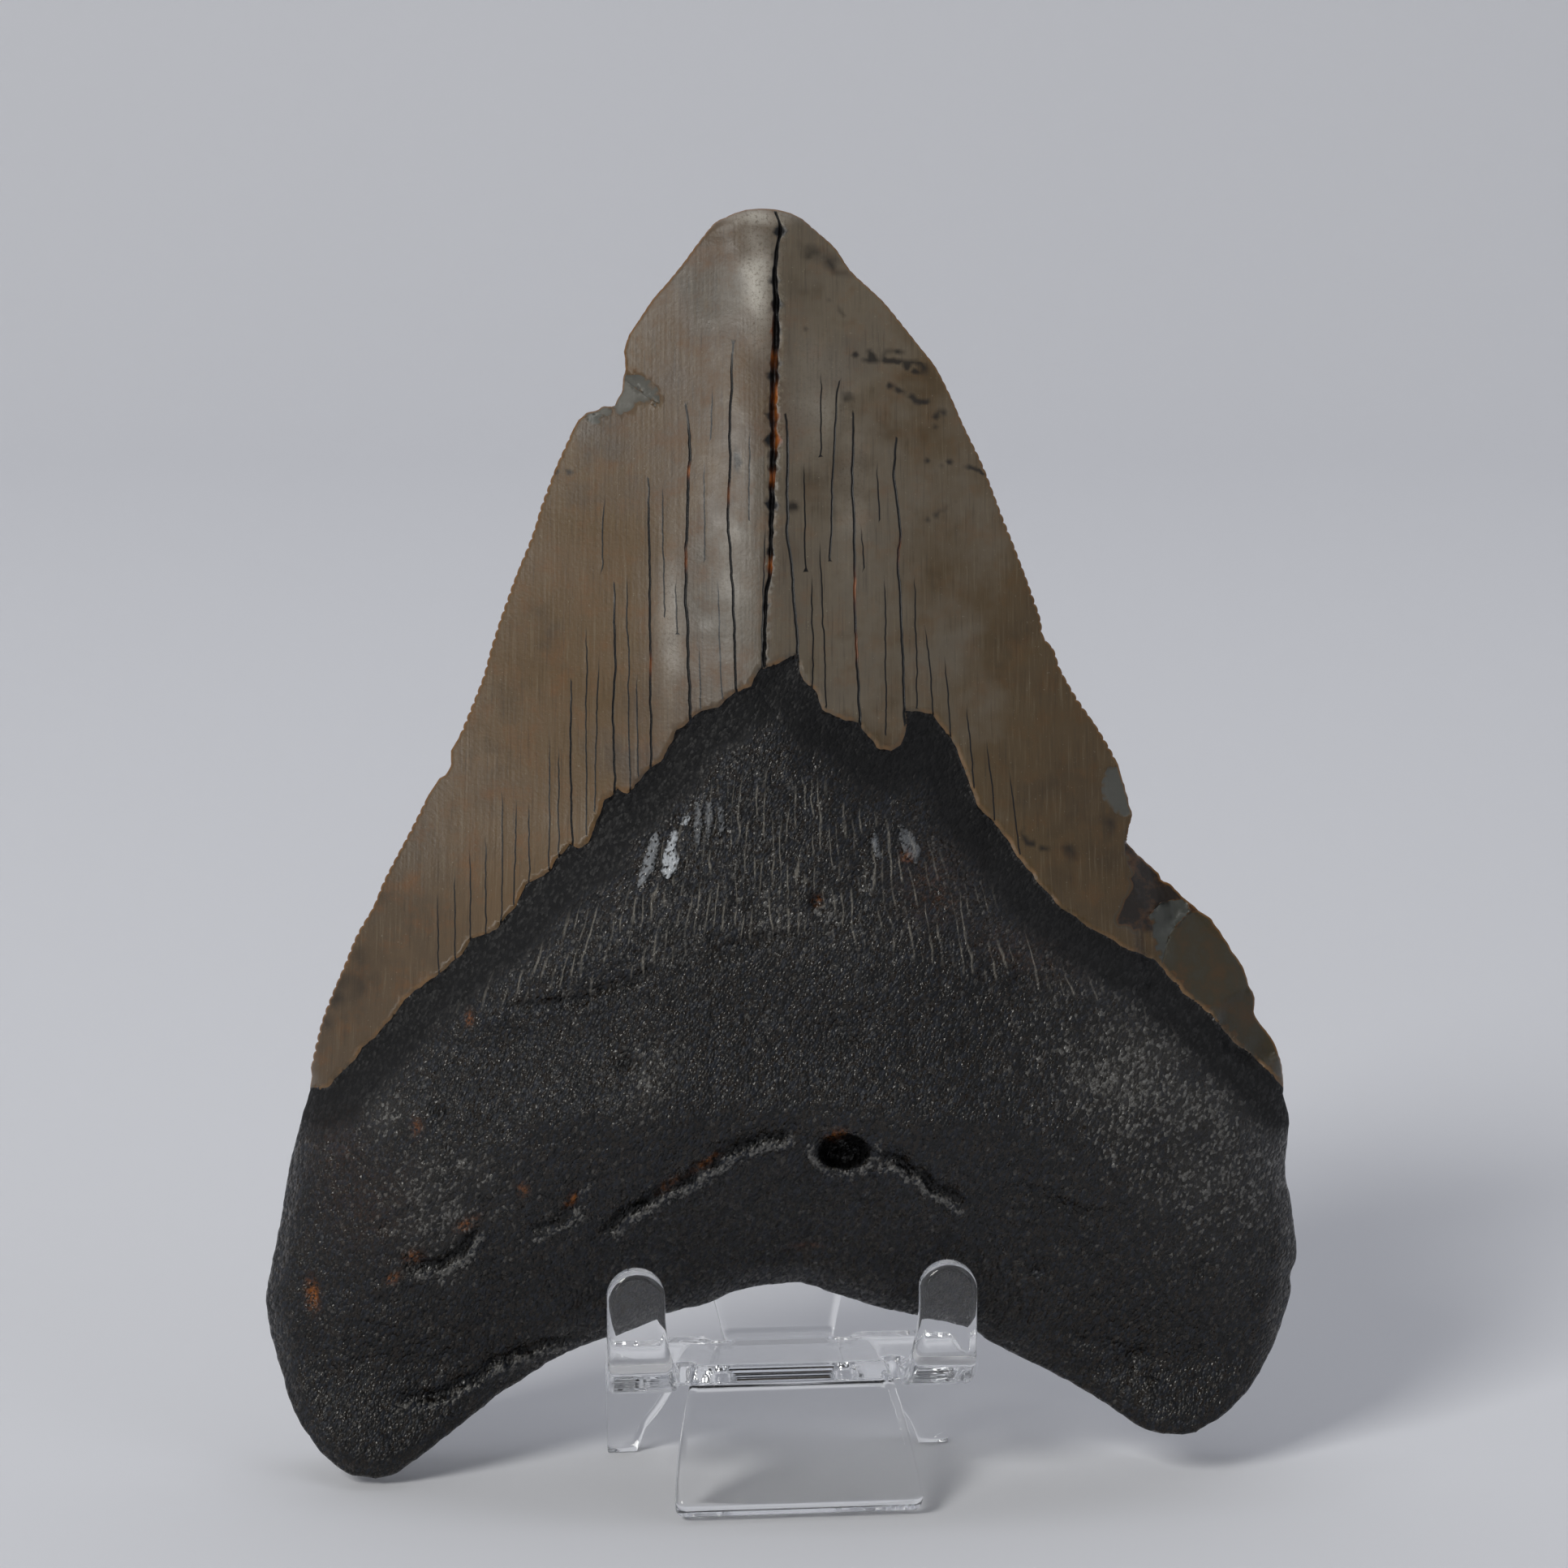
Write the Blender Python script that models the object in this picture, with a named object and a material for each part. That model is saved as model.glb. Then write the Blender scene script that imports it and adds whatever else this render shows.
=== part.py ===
# Fossil megalodon tooth resting on a small clear stand bent from one sheet of acrylic.
#
# The tooth is drawn flat first, in its own face plane: x runs across it and s runs up it, in
# millimetres. A front (lingual) and a back (labial) relief give it thickness along n, which points
# to the back. The finished tooth then leans back on the stand. The origin is the centre of the
# whole object's footprint box, on the surface it stands on.

import math

import bmesh
import bpy
import numpy as np
from mathutils import Matrix, Vector, noise
from mathutils.geometry import delaunay_2d_cdt

MM = 0.001

# ---- tooth: placing ----
TOOTH_LEAN = math.radians(10.0)      # the crown leans back from upright
TOOTH_LIFT = 0.60                    # lowest root lobe above the floor, before the lobe's rounding
EDGE_PLANE = 3.7                     # depth n of the cutting edges; the lobes' ends curl back to n = 0
CURL_HEIGHTS = (1.0, 11.0)           # the lobes curl between these heights s

# ---- tooth: outline in the face plane, (x, s) in mm, from the tip down the left, round, and up ----
TIP = [(0.6, 109.5), (-0.6, 109.8), (-2.0, 109.9), (-3.3, 109.8)]
LEFT_TIP_EDGE = [(-4.3, 109.5), (-5.2, 109.1), (-6.1, 108.6), (-7.5, 106.9), (-8.9, 105.0),
                 (-10.3, 103.3), (-11.5, 101.9), (-12.9, 99.8)]
LEFT_CHIP = [(-13.5, 98.9), (-13.9, 97.5), (-13.8, 96.1), (-14.0, 94.8), (-14.1, 94.0),
             (-14.8, 92.7), (-15.8, 92.7), (-16.2, 92.3), (-17.2, 92.2), (-17.9, 91.5)]
LEFT_EDGE = [(-18.4, 90.6), (-19.7, 87.8), (-21.1, 84.2), (-21.9, 81.6), (-23.8, 76.8),
             (-25.4, 72.1), (-26.2, 69.2), (-27.5, 65.9), (-28.4, 63.7)]
LEFT_NICK = [(-29.0, 62.7), (-29.0, 61.4), (-29.5, 60.5), (-30.0, 60.3)]
LEFT_HEEL = [(-31.0, 58.8), (-32.9, 55.1), (-34.8, 51.5), (-35.8, 49.1), (-37.2, 46.7),
             (-38.4, 43.8), (-39.9, 40.2), (-40.7, 37.5), (-41.2, 35.1)]
LEFT_ROOT = [(-41.1, 34.4), (-41.3, 33.2), (-41.8, 31.3), (-43.0, 26.7), (-44.1, 20.4),
             (-44.9, 16.5), (-45.1, 14.8), (-44.5, 11.3), (-42.8, 6.3), (-41.2, 3.8),
             (-39.6, 1.8), (-38.1, 0.7), (-36.7, 0.1), (-35.2, -0.1)]
ARCH = [(-33.8, 0.2), (-32.6, 0.9), (-29.5, 3.2), (-25.5, 6.3), (-23.5, 7.6), (-19.4, 10.1),
        (-15.3, 11.7), (-10.3, 13.7), (-7.0, 14.5), (-3.7, 15.8), (-0.4, 16.3), (1.7, 16.3),
        (4.7, 15.4), (8.1, 14.3), (11.6, 13.6), (14.6, 13.1), (16.3, 12.5), (18.4, 11.0),
        (23.6, 8.5), (27.9, 6.1), (30.5, 4.4), (32.7, 3.7), (34.4, 3.6)]
RIGHT_ROOT = [(35.6, 3.8), (37.5, 4.9), (39.0, 6.0), (40.6, 7.6), (42.3, 10.4), (43.6, 13.7),
              (44.2, 15.9), (44.1, 17.1), (44.6, 18.9), (44.2, 23.1), (43.6, 26.3), (44.0, 30.1),
              (43.8, 31.5)]
RIGHT_CHIP = [(43.4, 32.9), (43.5, 34.3), (43.2, 35.9), (42.5, 37.5), (40.8, 39.9), (41.0, 41.1),
              (39.9, 43.9), (38.0, 46.9), (37.2, 48.1), (36.0, 48.8), (33.5, 51.2), (32.9, 51.4),
              (32.7, 52.0), (30.7, 53.7), (29.8, 54.8), (30.3, 57.2), (29.5, 60.0)]
RIGHT_EDGE = [(29.1, 61.5), (28.4, 62.9), (27.3, 64.7), (25.4, 67.5), (24.1, 69.8), (23.5, 71.5),
              (22.6, 72.7), (22.2, 74.7), (20.3, 79.9), (18.8, 83.7), (17.3, 87.6), (15.6, 91.1),
              (14.5, 93.6), (13.2, 96.1), (11.8, 97.9), (9.0, 101.4), (7.6, 102.8), (5.8, 104.5),
              (4.5, 106.4), (3.1, 107.7), (1.6, 109.0)]
LEFT_CHIP_BEFORE = [(-15.1, 96.3)]                 # where the unbroken edge once ran
RIGHT_CHIP_BEFORE = [(43.5, 34.3), (42.1, 40.1), (38.4, 46.8), (34.6, 52.8), (31.0, 58.5)]

SERRATION_PITCH = 0.84               # about twelve to the centimetre
SERRATION_DEPTH = 0.22
SERRATION_WORN_DEPTH = 0.07          # near the tip, where they are nearly rubbed away
SHARP_SERRATIONS_BELOW = 90.0        # height s under which they stay sharp

# ---- tooth: thickness, height s against relief in mm ----
FRONT_RIDGE = [(-2, 7.0), (10, 9.8), (20, 12.8), (28, 15.3), (38, 15.4), (50, 14.6), (60, 13.0),
               (70, 11.2), (80, 9.2), (90, 6.9), (100, 4.3), (106, 2.6), (110, 1.4)]
BACK_RIDGE = [(-2, 1.0), (10, 1.2), (28, 1.6), (40, 3.0), (50, 3.8), (70, 3.5), (90, 2.4), (105, 1.1),
              (110, 0.7)]
LOBE_THINNING = 0.50                 # the front relief keeps half its height out on the lobes
BLADE_HALF = 0.12                    # half thickness of the cutting edge
ROOT_MARGIN_HALF = 0.9               # half height of the root's rim before it rounds over
TIP_HALF = 0.55                      # the worn tip is blunt
ROOT_MARGIN_ROUND = (1.3, 2.4)       # height and reach of the rounding inside that rim
ROOT_SIDE_WIDTH = 15.0
ARCH_SLOPE_WIDTH = 20.0
CROWN_BASE = (38.0, 58.0)            # the section changes from root to crown between these heights
ROOT_TOP = (31.0, 38.0)              # the rim thins from root margin to cutting edge here
TIP_BLUNTING = (106.0, 109.0)
FRONT_FLANK = 0.45                   # under 1, the blade's flanks are hollow beside the middle
BACK_FLANK = 0.6
ROOT_UNEVENNESS = 0.35
ROOT_UNEVEN_SCALE = 7.0

# ---- tooth: front details ----
ENAMEL_MARGIN = [
    (-40.0, 33.6), (-39.4, 33.8), (-37.7, 35.5), (-35.6, 37.8), (-33.4, 40.2), (-32.5, 41.5),
    (-29.7, 43.6), (-28.0, 45.0), (-26.8, 46.6), (-24.7, 47.4), (-23.1, 49.2), (-22.1, 51.3),
    (-20.0, 52.5), (-19.6, 53.4), (-18.3, 54.8), (-17.4, 54.4), (-16.7, 54.9), (-16.1, 56.8),
    (-15.3, 58.5), (-14.5, 59.0), (-14.3, 59.6), (-13.4, 59.1), (-12.8, 59.6), (-11.6, 61.2),
    (-10.5, 62.0), (-9.5, 63.5), (-9.3, 64.4), (-8.3, 65.0), (-7.7, 65.7), (-5.5, 66.5), (-4.8, 67.2),
    (-2.9, 68.2), (-2.3, 69.5), (-0.4, 70.1), (0.4, 70.7), (1.1, 70.9), (1.3, 69.6), (1.8, 68.6),
    (2.7, 67.9), (3.4, 66.2), (5.3, 65.3), (6.4, 65.2), (6.7, 64.4), (7.6, 63.5), (8.0, 62.9),
    (9.1, 62.7), (9.9, 63.2), (10.2, 64.2), (10.3, 66.1), (11.3, 66.1), (12.8, 65.8), (14.3, 63.9),
    (15.4, 61.6), (16.6, 58.2), (19.1, 55.1), (21.5, 51.8), (23.8, 49.2), (25.9, 47.8), (30.1, 45.4),
    (31.9, 44.8), (34.0, 42.3), (36.9, 39.9), (38.5, 38.1), (41.4, 35.6), (43.4, 33.5)]
ENAMEL_THICKNESS = 0.35
ENAMEL_STEP_HALF = 0.17              # half width of the step down from enamel to dentine
BACK_ENAMEL_MARGIN = [(-42.0, 31.0), (-36.0, 33.5), (-28.0, 38.0), (-18.0, 43.5), (-8.0, 46.6),
                      (2.0, 47.2), (12.0, 45.4), (22.0, 41.2), (32.0, 36.0), (45.0, 31.0)]
BOURLETTE_WIDTH = 6.0                # smooth recessed band under the enamel
BOURLETTE_DEPTH = 0.30

MAIN_CRACK = [(-0.7, 109.0), (-0.3, 108.1), (-0.6, 106.1), (-0.8, 103.8), (-0.7, 100.9),
              (-0.8, 96.6), (-0.9, 92.3), (-0.9, 88.0), (-1.1, 82.3), (-1.2, 78.2), (-1.5, 75.4),
              (-1.7, 71.7)]
MAIN_CRACK_WIDTH = 0.60
MAIN_CRACK_DEPTH = 0.70
SIDE_CRACKS = [
    [(0.1, 91.5), (0.3, 89.0), (0.4, 83.7), (0.6, 78.2), (1.0, 73.3), (1.1, 71.7)],
    [(-4.5, 92.1), (-4.8, 83.5), (-4.4, 76.6), (-4.1, 69.7)],
    [(-8.2, 91.7), (-8.2, 85.6), (-8.2, 77.7), (-7.8, 68.3)],
    [(5.9, 89.7), (6.0, 80.6), (6.1, 74.7), (6.4, 68.3)],
    [(9.5, 87.8), (9.9, 80.7), (9.9, 74.8), (10.3, 67.4)]]
SIDE_CRACK_WIDTH = 0.35
SIDE_CRACK_DEPTH = 0.25

ROOT_CREASES = [                     # each runs left to right, its ridge below it
    [(-16.0, 20.7), (-15.0, 22.0), (-12.0, 24.5), (-9.3, 26.0), (-6.6, 27.6), (-4.5, 29.2),
     (-1.7, 30.1), (2.3, 30.6)],
    [(7.2, 28.5), (9.2, 28.2), (11.2, 27.1), (13.3, 25.6), (15.1, 24.5), (16.4, 24.1)],
    [(-32.9, 17.4), (-31.2, 18.5), (-28.5, 19.5), (-25.8, 21.7), (-24.9, 22.9)],
    [(-23.0, 21.4), (-20.9, 21.9), (-18.4, 23.5), (-17.3, 26.8)],
    [(-34.3, 6.7), (-30.3, 7.1), (-28.0, 8.1), (-25.4, 9.6), (-22.4, 10.9), (-19.3, 11.9),
     (-16.4, 12.8)]]
CREASE_WIDTH = 0.9
CREASE_DEPTH = 0.55
CREASE_RIDGE = 0.35

FORAMEN_CENTRE = (5.0, 28.9)         # the nutrient hole in the middle of the root
FORAMEN_HALF = (2.2, 1.6)
FORAMEN_DEPTH = 2.4

# Broken facets: a point on the scar, the direction it falls away in the face plane, its slope and
# the relief left standing at that point.
CHIP_FACETS = [
    {"at": (-13.0, 95.0), "falls": (-1.0, -0.25), "slope": 0.75, "left": 1.1, "reach": 2.6},
    {"at": (-15.8, 91.6), "falls": (-0.4, 1.0), "slope": 0.9, "left": 0.75, "reach": 2.2},
    {"at": (31.2, 51.5), "falls": (1.0, 0.35), "slope": 0.85, "left": 1.9, "reach": 5.0},
    {"at": (36.0, 45.6), "falls": (0.75, 0.75), "slope": 0.7, "left": 1.6, "reach": 5.5},
    {"at": (40.6, 38.6), "falls": (1.0, 0.2), "slope": 0.8, "left": 1.0, "reach": 3.2}]

# ---- tooth: mesh spacing in mm ----
FRONT_SPACING = 2.5
BACK_SPACING = 3.6
ROOT_STEP = 1.9
CHIP_STEP = 1.0
CROWN_RING = 1.3
ROOT_RINGS = (0.8, 2.4)

# ---- stand: one sheet, cut flat and bent ----
SHEET = 2.2                          # acrylic thickness
BEND_RADIUS = 2.7                    # at the middle of the sheet
SHELF_TOP = 10.9                     # height of the shelf's upper face
SHELF_DEPTH = 7.8                    # flat part between the front and rear bends
STAND_TURN = math.radians(5.5)       # the stand is set a little askew under the tooth
STAND_PLACE = (0.45, 0.10)           # middle of the front bend line under the tooth's face plane

HALF_WIDTH_FRONT = 15.8
HALF_WIDTH_REAR = 15.1
HOOK_INNER = 10.85                   # inner edge of each hook
HOOK_HEIGHT = 20.3                   # top of the hooks above the floor
FOOT_SLOPE = math.radians(48.0)      # the front foot below level
FOOT_EDGE = [(8.45, 0.0), (8.75, -1.6), (9.35, -4.2), (9.95, -7.4), (10.35, -10.4)]
FOOT_HALF_WIDTH = 10.5
FRONT_SLOT = [(9.3, 0.0), (9.75, -2.0), (10.1, -4.2), (10.45, -7.4), (10.68, -14.0)]
REAR_SLOT = [(5.35, 0.0), (8.15, 10.0), (11.8, 23.0), (15.5, 36.0)]
LEG_INNER = [(6.1, 0.6), (6.9, 2.6), (7.7, 4.4), (8.7, 6.2), (9.7, 8.0), (10.8, 9.6)]
LEG_FOOT_INNER = 11.9                # inner corner of the rear leg on the floor
REST_EDGE = [(4.7, 0.9), (5.1, 3.2), (5.7, 5.6), (7.0, 10.0), (8.7, 16.0), (10.0, 23.0)]
REST_HALF_WIDTH = 10.6
REST_LENGTH = 36.0                   # along the sheet, from the rear bend line
REST_LEAN = math.radians(13.7)
REST_CORNER = 4.0
BEND_STEPS = 5
EDGE_ROUND = 0.55                    # polished cut edges
EDGE_ROUND_STEPS = 1


def ramp(low, high, value):
    """Smooth 0 to 1 as value goes from low to high."""
    t = np.clip((np.asarray(value, float) - low) / (high - low), 0.0, 1.0)
    return t * t * (3.0 - 2.0 * t)


def resample(line, step):
    """Even spacing of about one step along a polyline, ends kept."""
    line = np.asarray(line, float)
    run = np.concatenate([[0.0], np.cumsum(np.hypot(*np.diff(line, axis=0).T))])
    count = max(1, int(round(run[-1] / step)))
    at = np.linspace(0.0, run[-1], count + 1)
    return np.stack([np.interp(at, run, line[:, 0]), np.interp(at, run, line[:, 1])], axis=1)


def smooth_line(points, step, detail=12):
    """Catmull-Rom curve through the points, at an even step."""
    p = np.asarray(points, float)
    p = np.vstack([2 * p[0] - p[1], p, 2 * p[-1] - p[-2]])
    t = np.linspace(0.0, 1.0, detail, endpoint=False)[:, None]
    runs = []
    for a, b, c, d in zip(p[:-3], p[1:-2], p[2:-1], p[3:]):
        runs.append(0.5 * (2 * b + (c - a) * t + (2 * a - 5 * b + 4 * c - d) * t ** 2
                           + (3 * b - a - 3 * c + d) * t ** 3))
    runs.append(p[-2:-1])
    return resample(np.vstack(runs), step)


def height_curve(pairs):
    """A smooth function of one variable through (position, value) pairs."""
    curve = smooth_line(pairs, 0.5)
    return lambda at: np.interp(at, curve[:, 0], curve[:, 1])


def line_distance(points, line):
    """Distance from each point to a polyline, and the side: positive to the left of its run."""
    a, b = line[:-1], line[1:]
    run = b - a
    length2 = np.maximum((run ** 2).sum(1), 1e-12)
    best = np.full(len(points), 1e9)
    side = np.ones(len(points))
    for start, step, size in zip(a, run, length2):
        rel = points - start
        t = np.clip(rel @ step / size, 0.0, 1.0)
        off = rel - t[:, None] * step
        gap = np.hypot(off[:, 0], off[:, 1])
        nearer = gap < best
        best[nearer] = gap[nearer]
        side[nearer] = np.sign(step[0] * rel[nearer, 1] - step[1] * rel[nearer, 0])
    return best, side


def inside(points, loop):
    """Which points lie inside a closed loop."""
    x, y = points[:, 0], points[:, 1]
    hit = np.zeros(len(points), bool)
    for (x0, y0), (x1, y1) in zip(loop, np.roll(loop, -1, axis=0)):
        crosses = (y0 > y) != (y1 > y)
        rise = y1 - y0 if y1 != y0 else 1e-12
        hit ^= crosses & (x < x0 + (y - y0) * (x1 - x0) / rise)
    return hit


def left_of(line):
    """Unit directions to the left of a polyline's run."""
    run = np.gradient(line, axis=0)
    run /= np.maximum(np.hypot(run[:, 0], run[:, 1]), 1e-9)[:, None]
    return np.stack([-run[:, 1], run[:, 0]], axis=1)


def serrated(points):
    """A cutting edge with its saw teeth: alternate crest and notch, half a pitch apart."""
    line = smooth_line(points, SERRATION_PITCH / 2)
    sharp = ramp(SHARP_SERRATIONS_BELOW + 6, SHARP_SERRATIONS_BELOW - 6, line[:, 1])
    depth = SERRATION_WORN_DEPTH + (SERRATION_DEPTH - SERRATION_WORN_DEPTH) * sharp
    depth[0::2] = 0.0
    depth[-1] = 0.0
    return line + left_of(line) * depth[:, None]


class ToothSurface:
    """Heights of the tooth's front and back over its face plane."""

    def __init__(self):
        self.outline = np.vstack([
            smooth_line(TIP, 0.9), serrated(LEFT_TIP_EDGE), resample(LEFT_CHIP, CHIP_STEP),
            serrated(LEFT_EDGE), resample(LEFT_NICK, CHIP_STEP), serrated(LEFT_HEEL),
            smooth_line(LEFT_ROOT, ROOT_STEP), smooth_line(ARCH, ROOT_STEP),
            smooth_line(RIGHT_ROOT, ROOT_STEP), resample(RIGHT_CHIP, CHIP_STEP),
            serrated(RIGHT_EDGE)])
        self.left = smooth_line(TIP[1:] + LEFT_TIP_EDGE + LEFT_CHIP_BEFORE + LEFT_EDGE
                                + LEFT_HEEL + LEFT_ROOT, 1.0)
        self.right = smooth_line(RIGHT_ROOT + RIGHT_CHIP_BEFORE + RIGHT_EDGE + TIP[:2], 1.0)
        self.arch = smooth_line([LEFT_ROOT[-1]] + ARCH + [RIGHT_ROOT[0]], 1.0)
        self.margin = np.array(ENAMEL_MARGIN)
        self.back_margin = smooth_line(BACK_ENAMEL_MARGIN, 2.0)
        self.front_ridge = height_curve(FRONT_RIDGE)
        self.back_ridge = height_curve(BACK_RIDGE)

    def edge_plane(self, s):
        return EDGE_PLANE * ramp(*CURL_HEIGHTS, s)

    def half_width(self, s):
        left = np.interp(-s, -self.left[:, 1], -self.left[:, 0])
        right = np.interp(s, self.right[:, 1], self.right[:, 0])
        return np.maximum(0.5 * (left + right), 2.5)

    def section(self, p, flat):
        """0 at the edges, 1 along the middle of the tooth; flat < 1 hollows the blade's flanks."""
        s = p[:, 1]
        crown = ramp(*CROWN_BASE, s)
        width = ROOT_SIDE_WIDTH + (self.half_width(s) - ROOT_SIDE_WIDTH) * crown
        body = np.ones(len(p))
        near = np.full(len(p), 1e9)
        for edge in (self.left, self.right):
            gap, _ = line_distance(p, edge)
            q = np.clip(gap / width, 0.0, 1.0)
            rounded = 1.0 - (1.0 - q) ** 2
            hollow = flat * rounded + (1.0 - flat) * q * q * (3.0 - 2.0 * q)
            body *= rounded + (hollow - rounded) * crown
            near = np.minimum(near, gap)
        gap, _ = line_distance(p, self.arch)
        body *= 1.0 - (1.0 - np.clip(gap / ARCH_SLOPE_WIDTH, 0.0, 1.0)) ** 1.5
        near = np.minimum(near, gap)
        root = 1.0 - ramp(*ROOT_TOP, s)
        tip = ramp(*TIP_BLUNTING, s)
        rim = BLADE_HALF + (ROOT_MARGIN_HALF - BLADE_HALF) * root + (TIP_HALF - BLADE_HALF) * tip
        high, reach = ROOT_MARGIN_ROUND
        over = 1.0 - np.clip(near / reach, 0.0, 1.0)
        return body, rim + root * high * np.sqrt(1.0 - over ** 2)

    def chips(self, p, relief):
        for facet in CHIP_FACETS:
            off = p - np.array(facet["at"])
            falls = np.array(facet["falls"]) / math.hypot(*facet["falls"])
            plane = facet["left"] - facet["slope"] * (off @ falls)
            close = np.hypot(off[:, 0], off[:, 1]) < facet["reach"]
            relief = np.where(close, np.minimum(relief, np.maximum(plane, 0.25)), relief)
        return relief

    def front(self, p):
        """Relief of the lingual face above the edge plane."""
        x, s = p[:, 0], p[:, 1]
        body, rim = self.section(p, FRONT_FLANK)
        lobes = 1.0 - LOBE_THINNING * ramp(6.0, 42.0, np.abs(x)) * (1.0 - ramp(40.0, 60.0, s))
        relief = rim + self.front_ridge(s) * lobes * body
        gap, side = line_distance(p, self.margin)
        enamel = gap * side
        relief += ENAMEL_THICKNESS * (ramp(-ENAMEL_STEP_HALF, ENAMEL_STEP_HALF, enamel) - 1.0)
        band = ramp(0.2, 1.2, -enamel) * (1.0 - ramp(BOURLETTE_WIDTH - 1.5, BOURLETTE_WIDTH, -enamel))
        relief -= BOURLETTE_DEPTH * band
        for line in SIDE_CRACKS:
            gap, _ = line_distance(p, np.array(line))
            relief -= SIDE_CRACK_DEPTH * np.clip(1.0 - gap / SIDE_CRACK_WIDTH, 0.0, 1.0)
        gap, _ = line_distance(p, np.array(MAIN_CRACK))
        relief -= MAIN_CRACK_DEPTH * np.clip(1.0 - gap / MAIN_CRACK_WIDTH, 0.0, 1.0)
        for line in ROOT_CREASES:
            gap, side = line_distance(p, np.array(line))
            signed = gap * side
            relief -= CREASE_DEPTH * np.exp(-(gap / CREASE_WIDTH) ** 2)
            relief += CREASE_RIDGE * np.exp(-((signed + 1.3) / CREASE_WIDTH) ** 2) * (gap < 3.0)
        across = (x - FORAMEN_CENTRE[0]) / FORAMEN_HALF[0]
        up = (s - FORAMEN_CENTRE[1]) / FORAMEN_HALF[1]
        relief -= FORAMEN_DEPTH * np.clip(1.2 - (across ** 2 + up ** 2), 0.0, 1.0)
        rough = np.array([noise.noise(Vector((a, b, 0.0)) / ROOT_UNEVEN_SCALE) for a, b in p])
        relief += ROOT_UNEVENNESS * rough * (1.0 - ramp(*ROOT_TOP, s - 6.0)) * ramp(0.5, 4.0, relief)
        return self.chips(p, relief)

    def back(self, p):
        """Relief of the labial face behind the edge plane."""
        body, rim = self.section(p, BACK_FLANK)
        relief = rim + self.back_ridge(p[:, 1]) * body
        gap, side = line_distance(p, self.back_margin)
        relief += ENAMEL_THICKNESS * (ramp(-0.3, 0.3, gap * side) - 1.0) * ramp(0.5, 1.5, relief)
        return self.chips(p, relief)


def scattered(loop, spacing, clear, seed):
    """Jittered hexagonal grid of points inside a loop, kept clear of its line."""
    rng = np.random.default_rng(seed)
    low, high = loop.min(0), loop.max(0)
    rows = np.arange(low[1], high[1], spacing * 0.87)
    columns = np.arange(low[0], high[0], spacing)
    grid = np.array([(x + (k % 2) * spacing / 2, y) for k, y in enumerate(rows) for x in columns])
    grid += rng.uniform(-0.16, 0.16, grid.shape) * spacing
    grid = grid[inside(grid, loop)]
    gap, _ = line_distance(grid, np.vstack([loop, loop[:1]]))
    return grid[gap > clear]


def rings(loop):
    """Points set in from the outline, where the relief turns fastest."""
    found = []
    closed = np.vstack([loop, loop[:1]])
    for gap_in, root in ((CROWN_RING, False), (ROOT_RINGS[0], True), (ROOT_RINGS[1], True)):
        line = resample(closed, max(1.5, gap_in))
        points = line + left_of(line) * gap_in
        points = points[(points[:, 1] < 36.0) == root]
        points = points[inside(points, loop)]
        gap, _ = line_distance(points, closed)
        found.append(points[gap > 0.85 * gap_in])
    return np.vstack(found)


def front_lines(margin):
    """Polylines that front edges must follow: enamel ledge, cracks, creases and the foramen."""
    lines = []
    upward = left_of(margin)
    for off in (-ENAMEL_STEP_HALF, ENAMEL_STEP_HALF):
        lines.append(margin + upward * off)
    main = smooth_line(MAIN_CRACK, 2.4)
    lines += [main, main + (MAIN_CRACK_WIDTH, 0.0), main - (MAIN_CRACK_WIDTH, 0.0)]
    for line in SIDE_CRACKS:
        side = smooth_line(line, 3.0)
        lines += [side, side + (SIDE_CRACK_WIDTH, 0.0), side - (SIDE_CRACK_WIDTH, 0.0)]
    for line in ROOT_CREASES:
        crease = smooth_line(line, 1.8)
        for line_up in (0.0, -1.4, 1.2):
            shifted = crease + (0.0, line_up)
            lines.append(shifted[off_foramen(shifted, 1.45)])
    turn = np.linspace(0.0, 2.0 * math.pi, 13)
    for size in (0.45, 0.95, 1.25):
        lines.append(np.stack([FORAMEN_CENTRE[0] + FORAMEN_HALF[0] * size * np.cos(turn),
                               FORAMEN_CENTRE[1] + FORAMEN_HALF[1] * size * np.sin(turn)], axis=1))
    return lines


def off_foramen(points, room):
    """Which points lie outside the nutrient hole's rim, by a factor of its size."""
    off = (points - np.array(FORAMEN_CENTRE)) / np.array(FORAMEN_HALF)
    return np.hypot(off[:, 0], off[:, 1]) > room


def thin_out(points, keep, clear):
    """Drops the points that crowd any of the kept ones."""
    if not len(keep):
        return points
    left = []
    for p in points:
        if np.min(np.hypot(*(keep - p).T)) > clear:
            left.append(p)
    return np.array(left)


def triangulate(loop, lines, points):
    """Triangles over the face plane. The loop's points come first in the result."""
    coords = [Vector(p) for p in loop]
    edges = []
    closed = np.vstack([loop, loop[:1]])
    for line in lines:
        gap, _ = line_distance(line, closed)
        good = inside(line, loop) & (gap > 0.3)
        last = None
        for p, ok in zip(line, good):
            if ok:
                coords.append(Vector(p))
                if last is not None:
                    edges.append((last, len(coords) - 1))
                last = len(coords) - 1
            else:
                last = None
    coords += [Vector(p) for p in points]
    found = delaunay_2d_cdt(coords, edges, [list(range(len(loop)))], 1, 1e-4)
    verts, faces, origins = np.array(found[0]), found[2], found[3]
    place = {}
    for index, sources in enumerate(origins):
        for source in sources:
            place[source] = index
    order = [place[k] for k in range(len(loop))]
    return verts, faces, order


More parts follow.
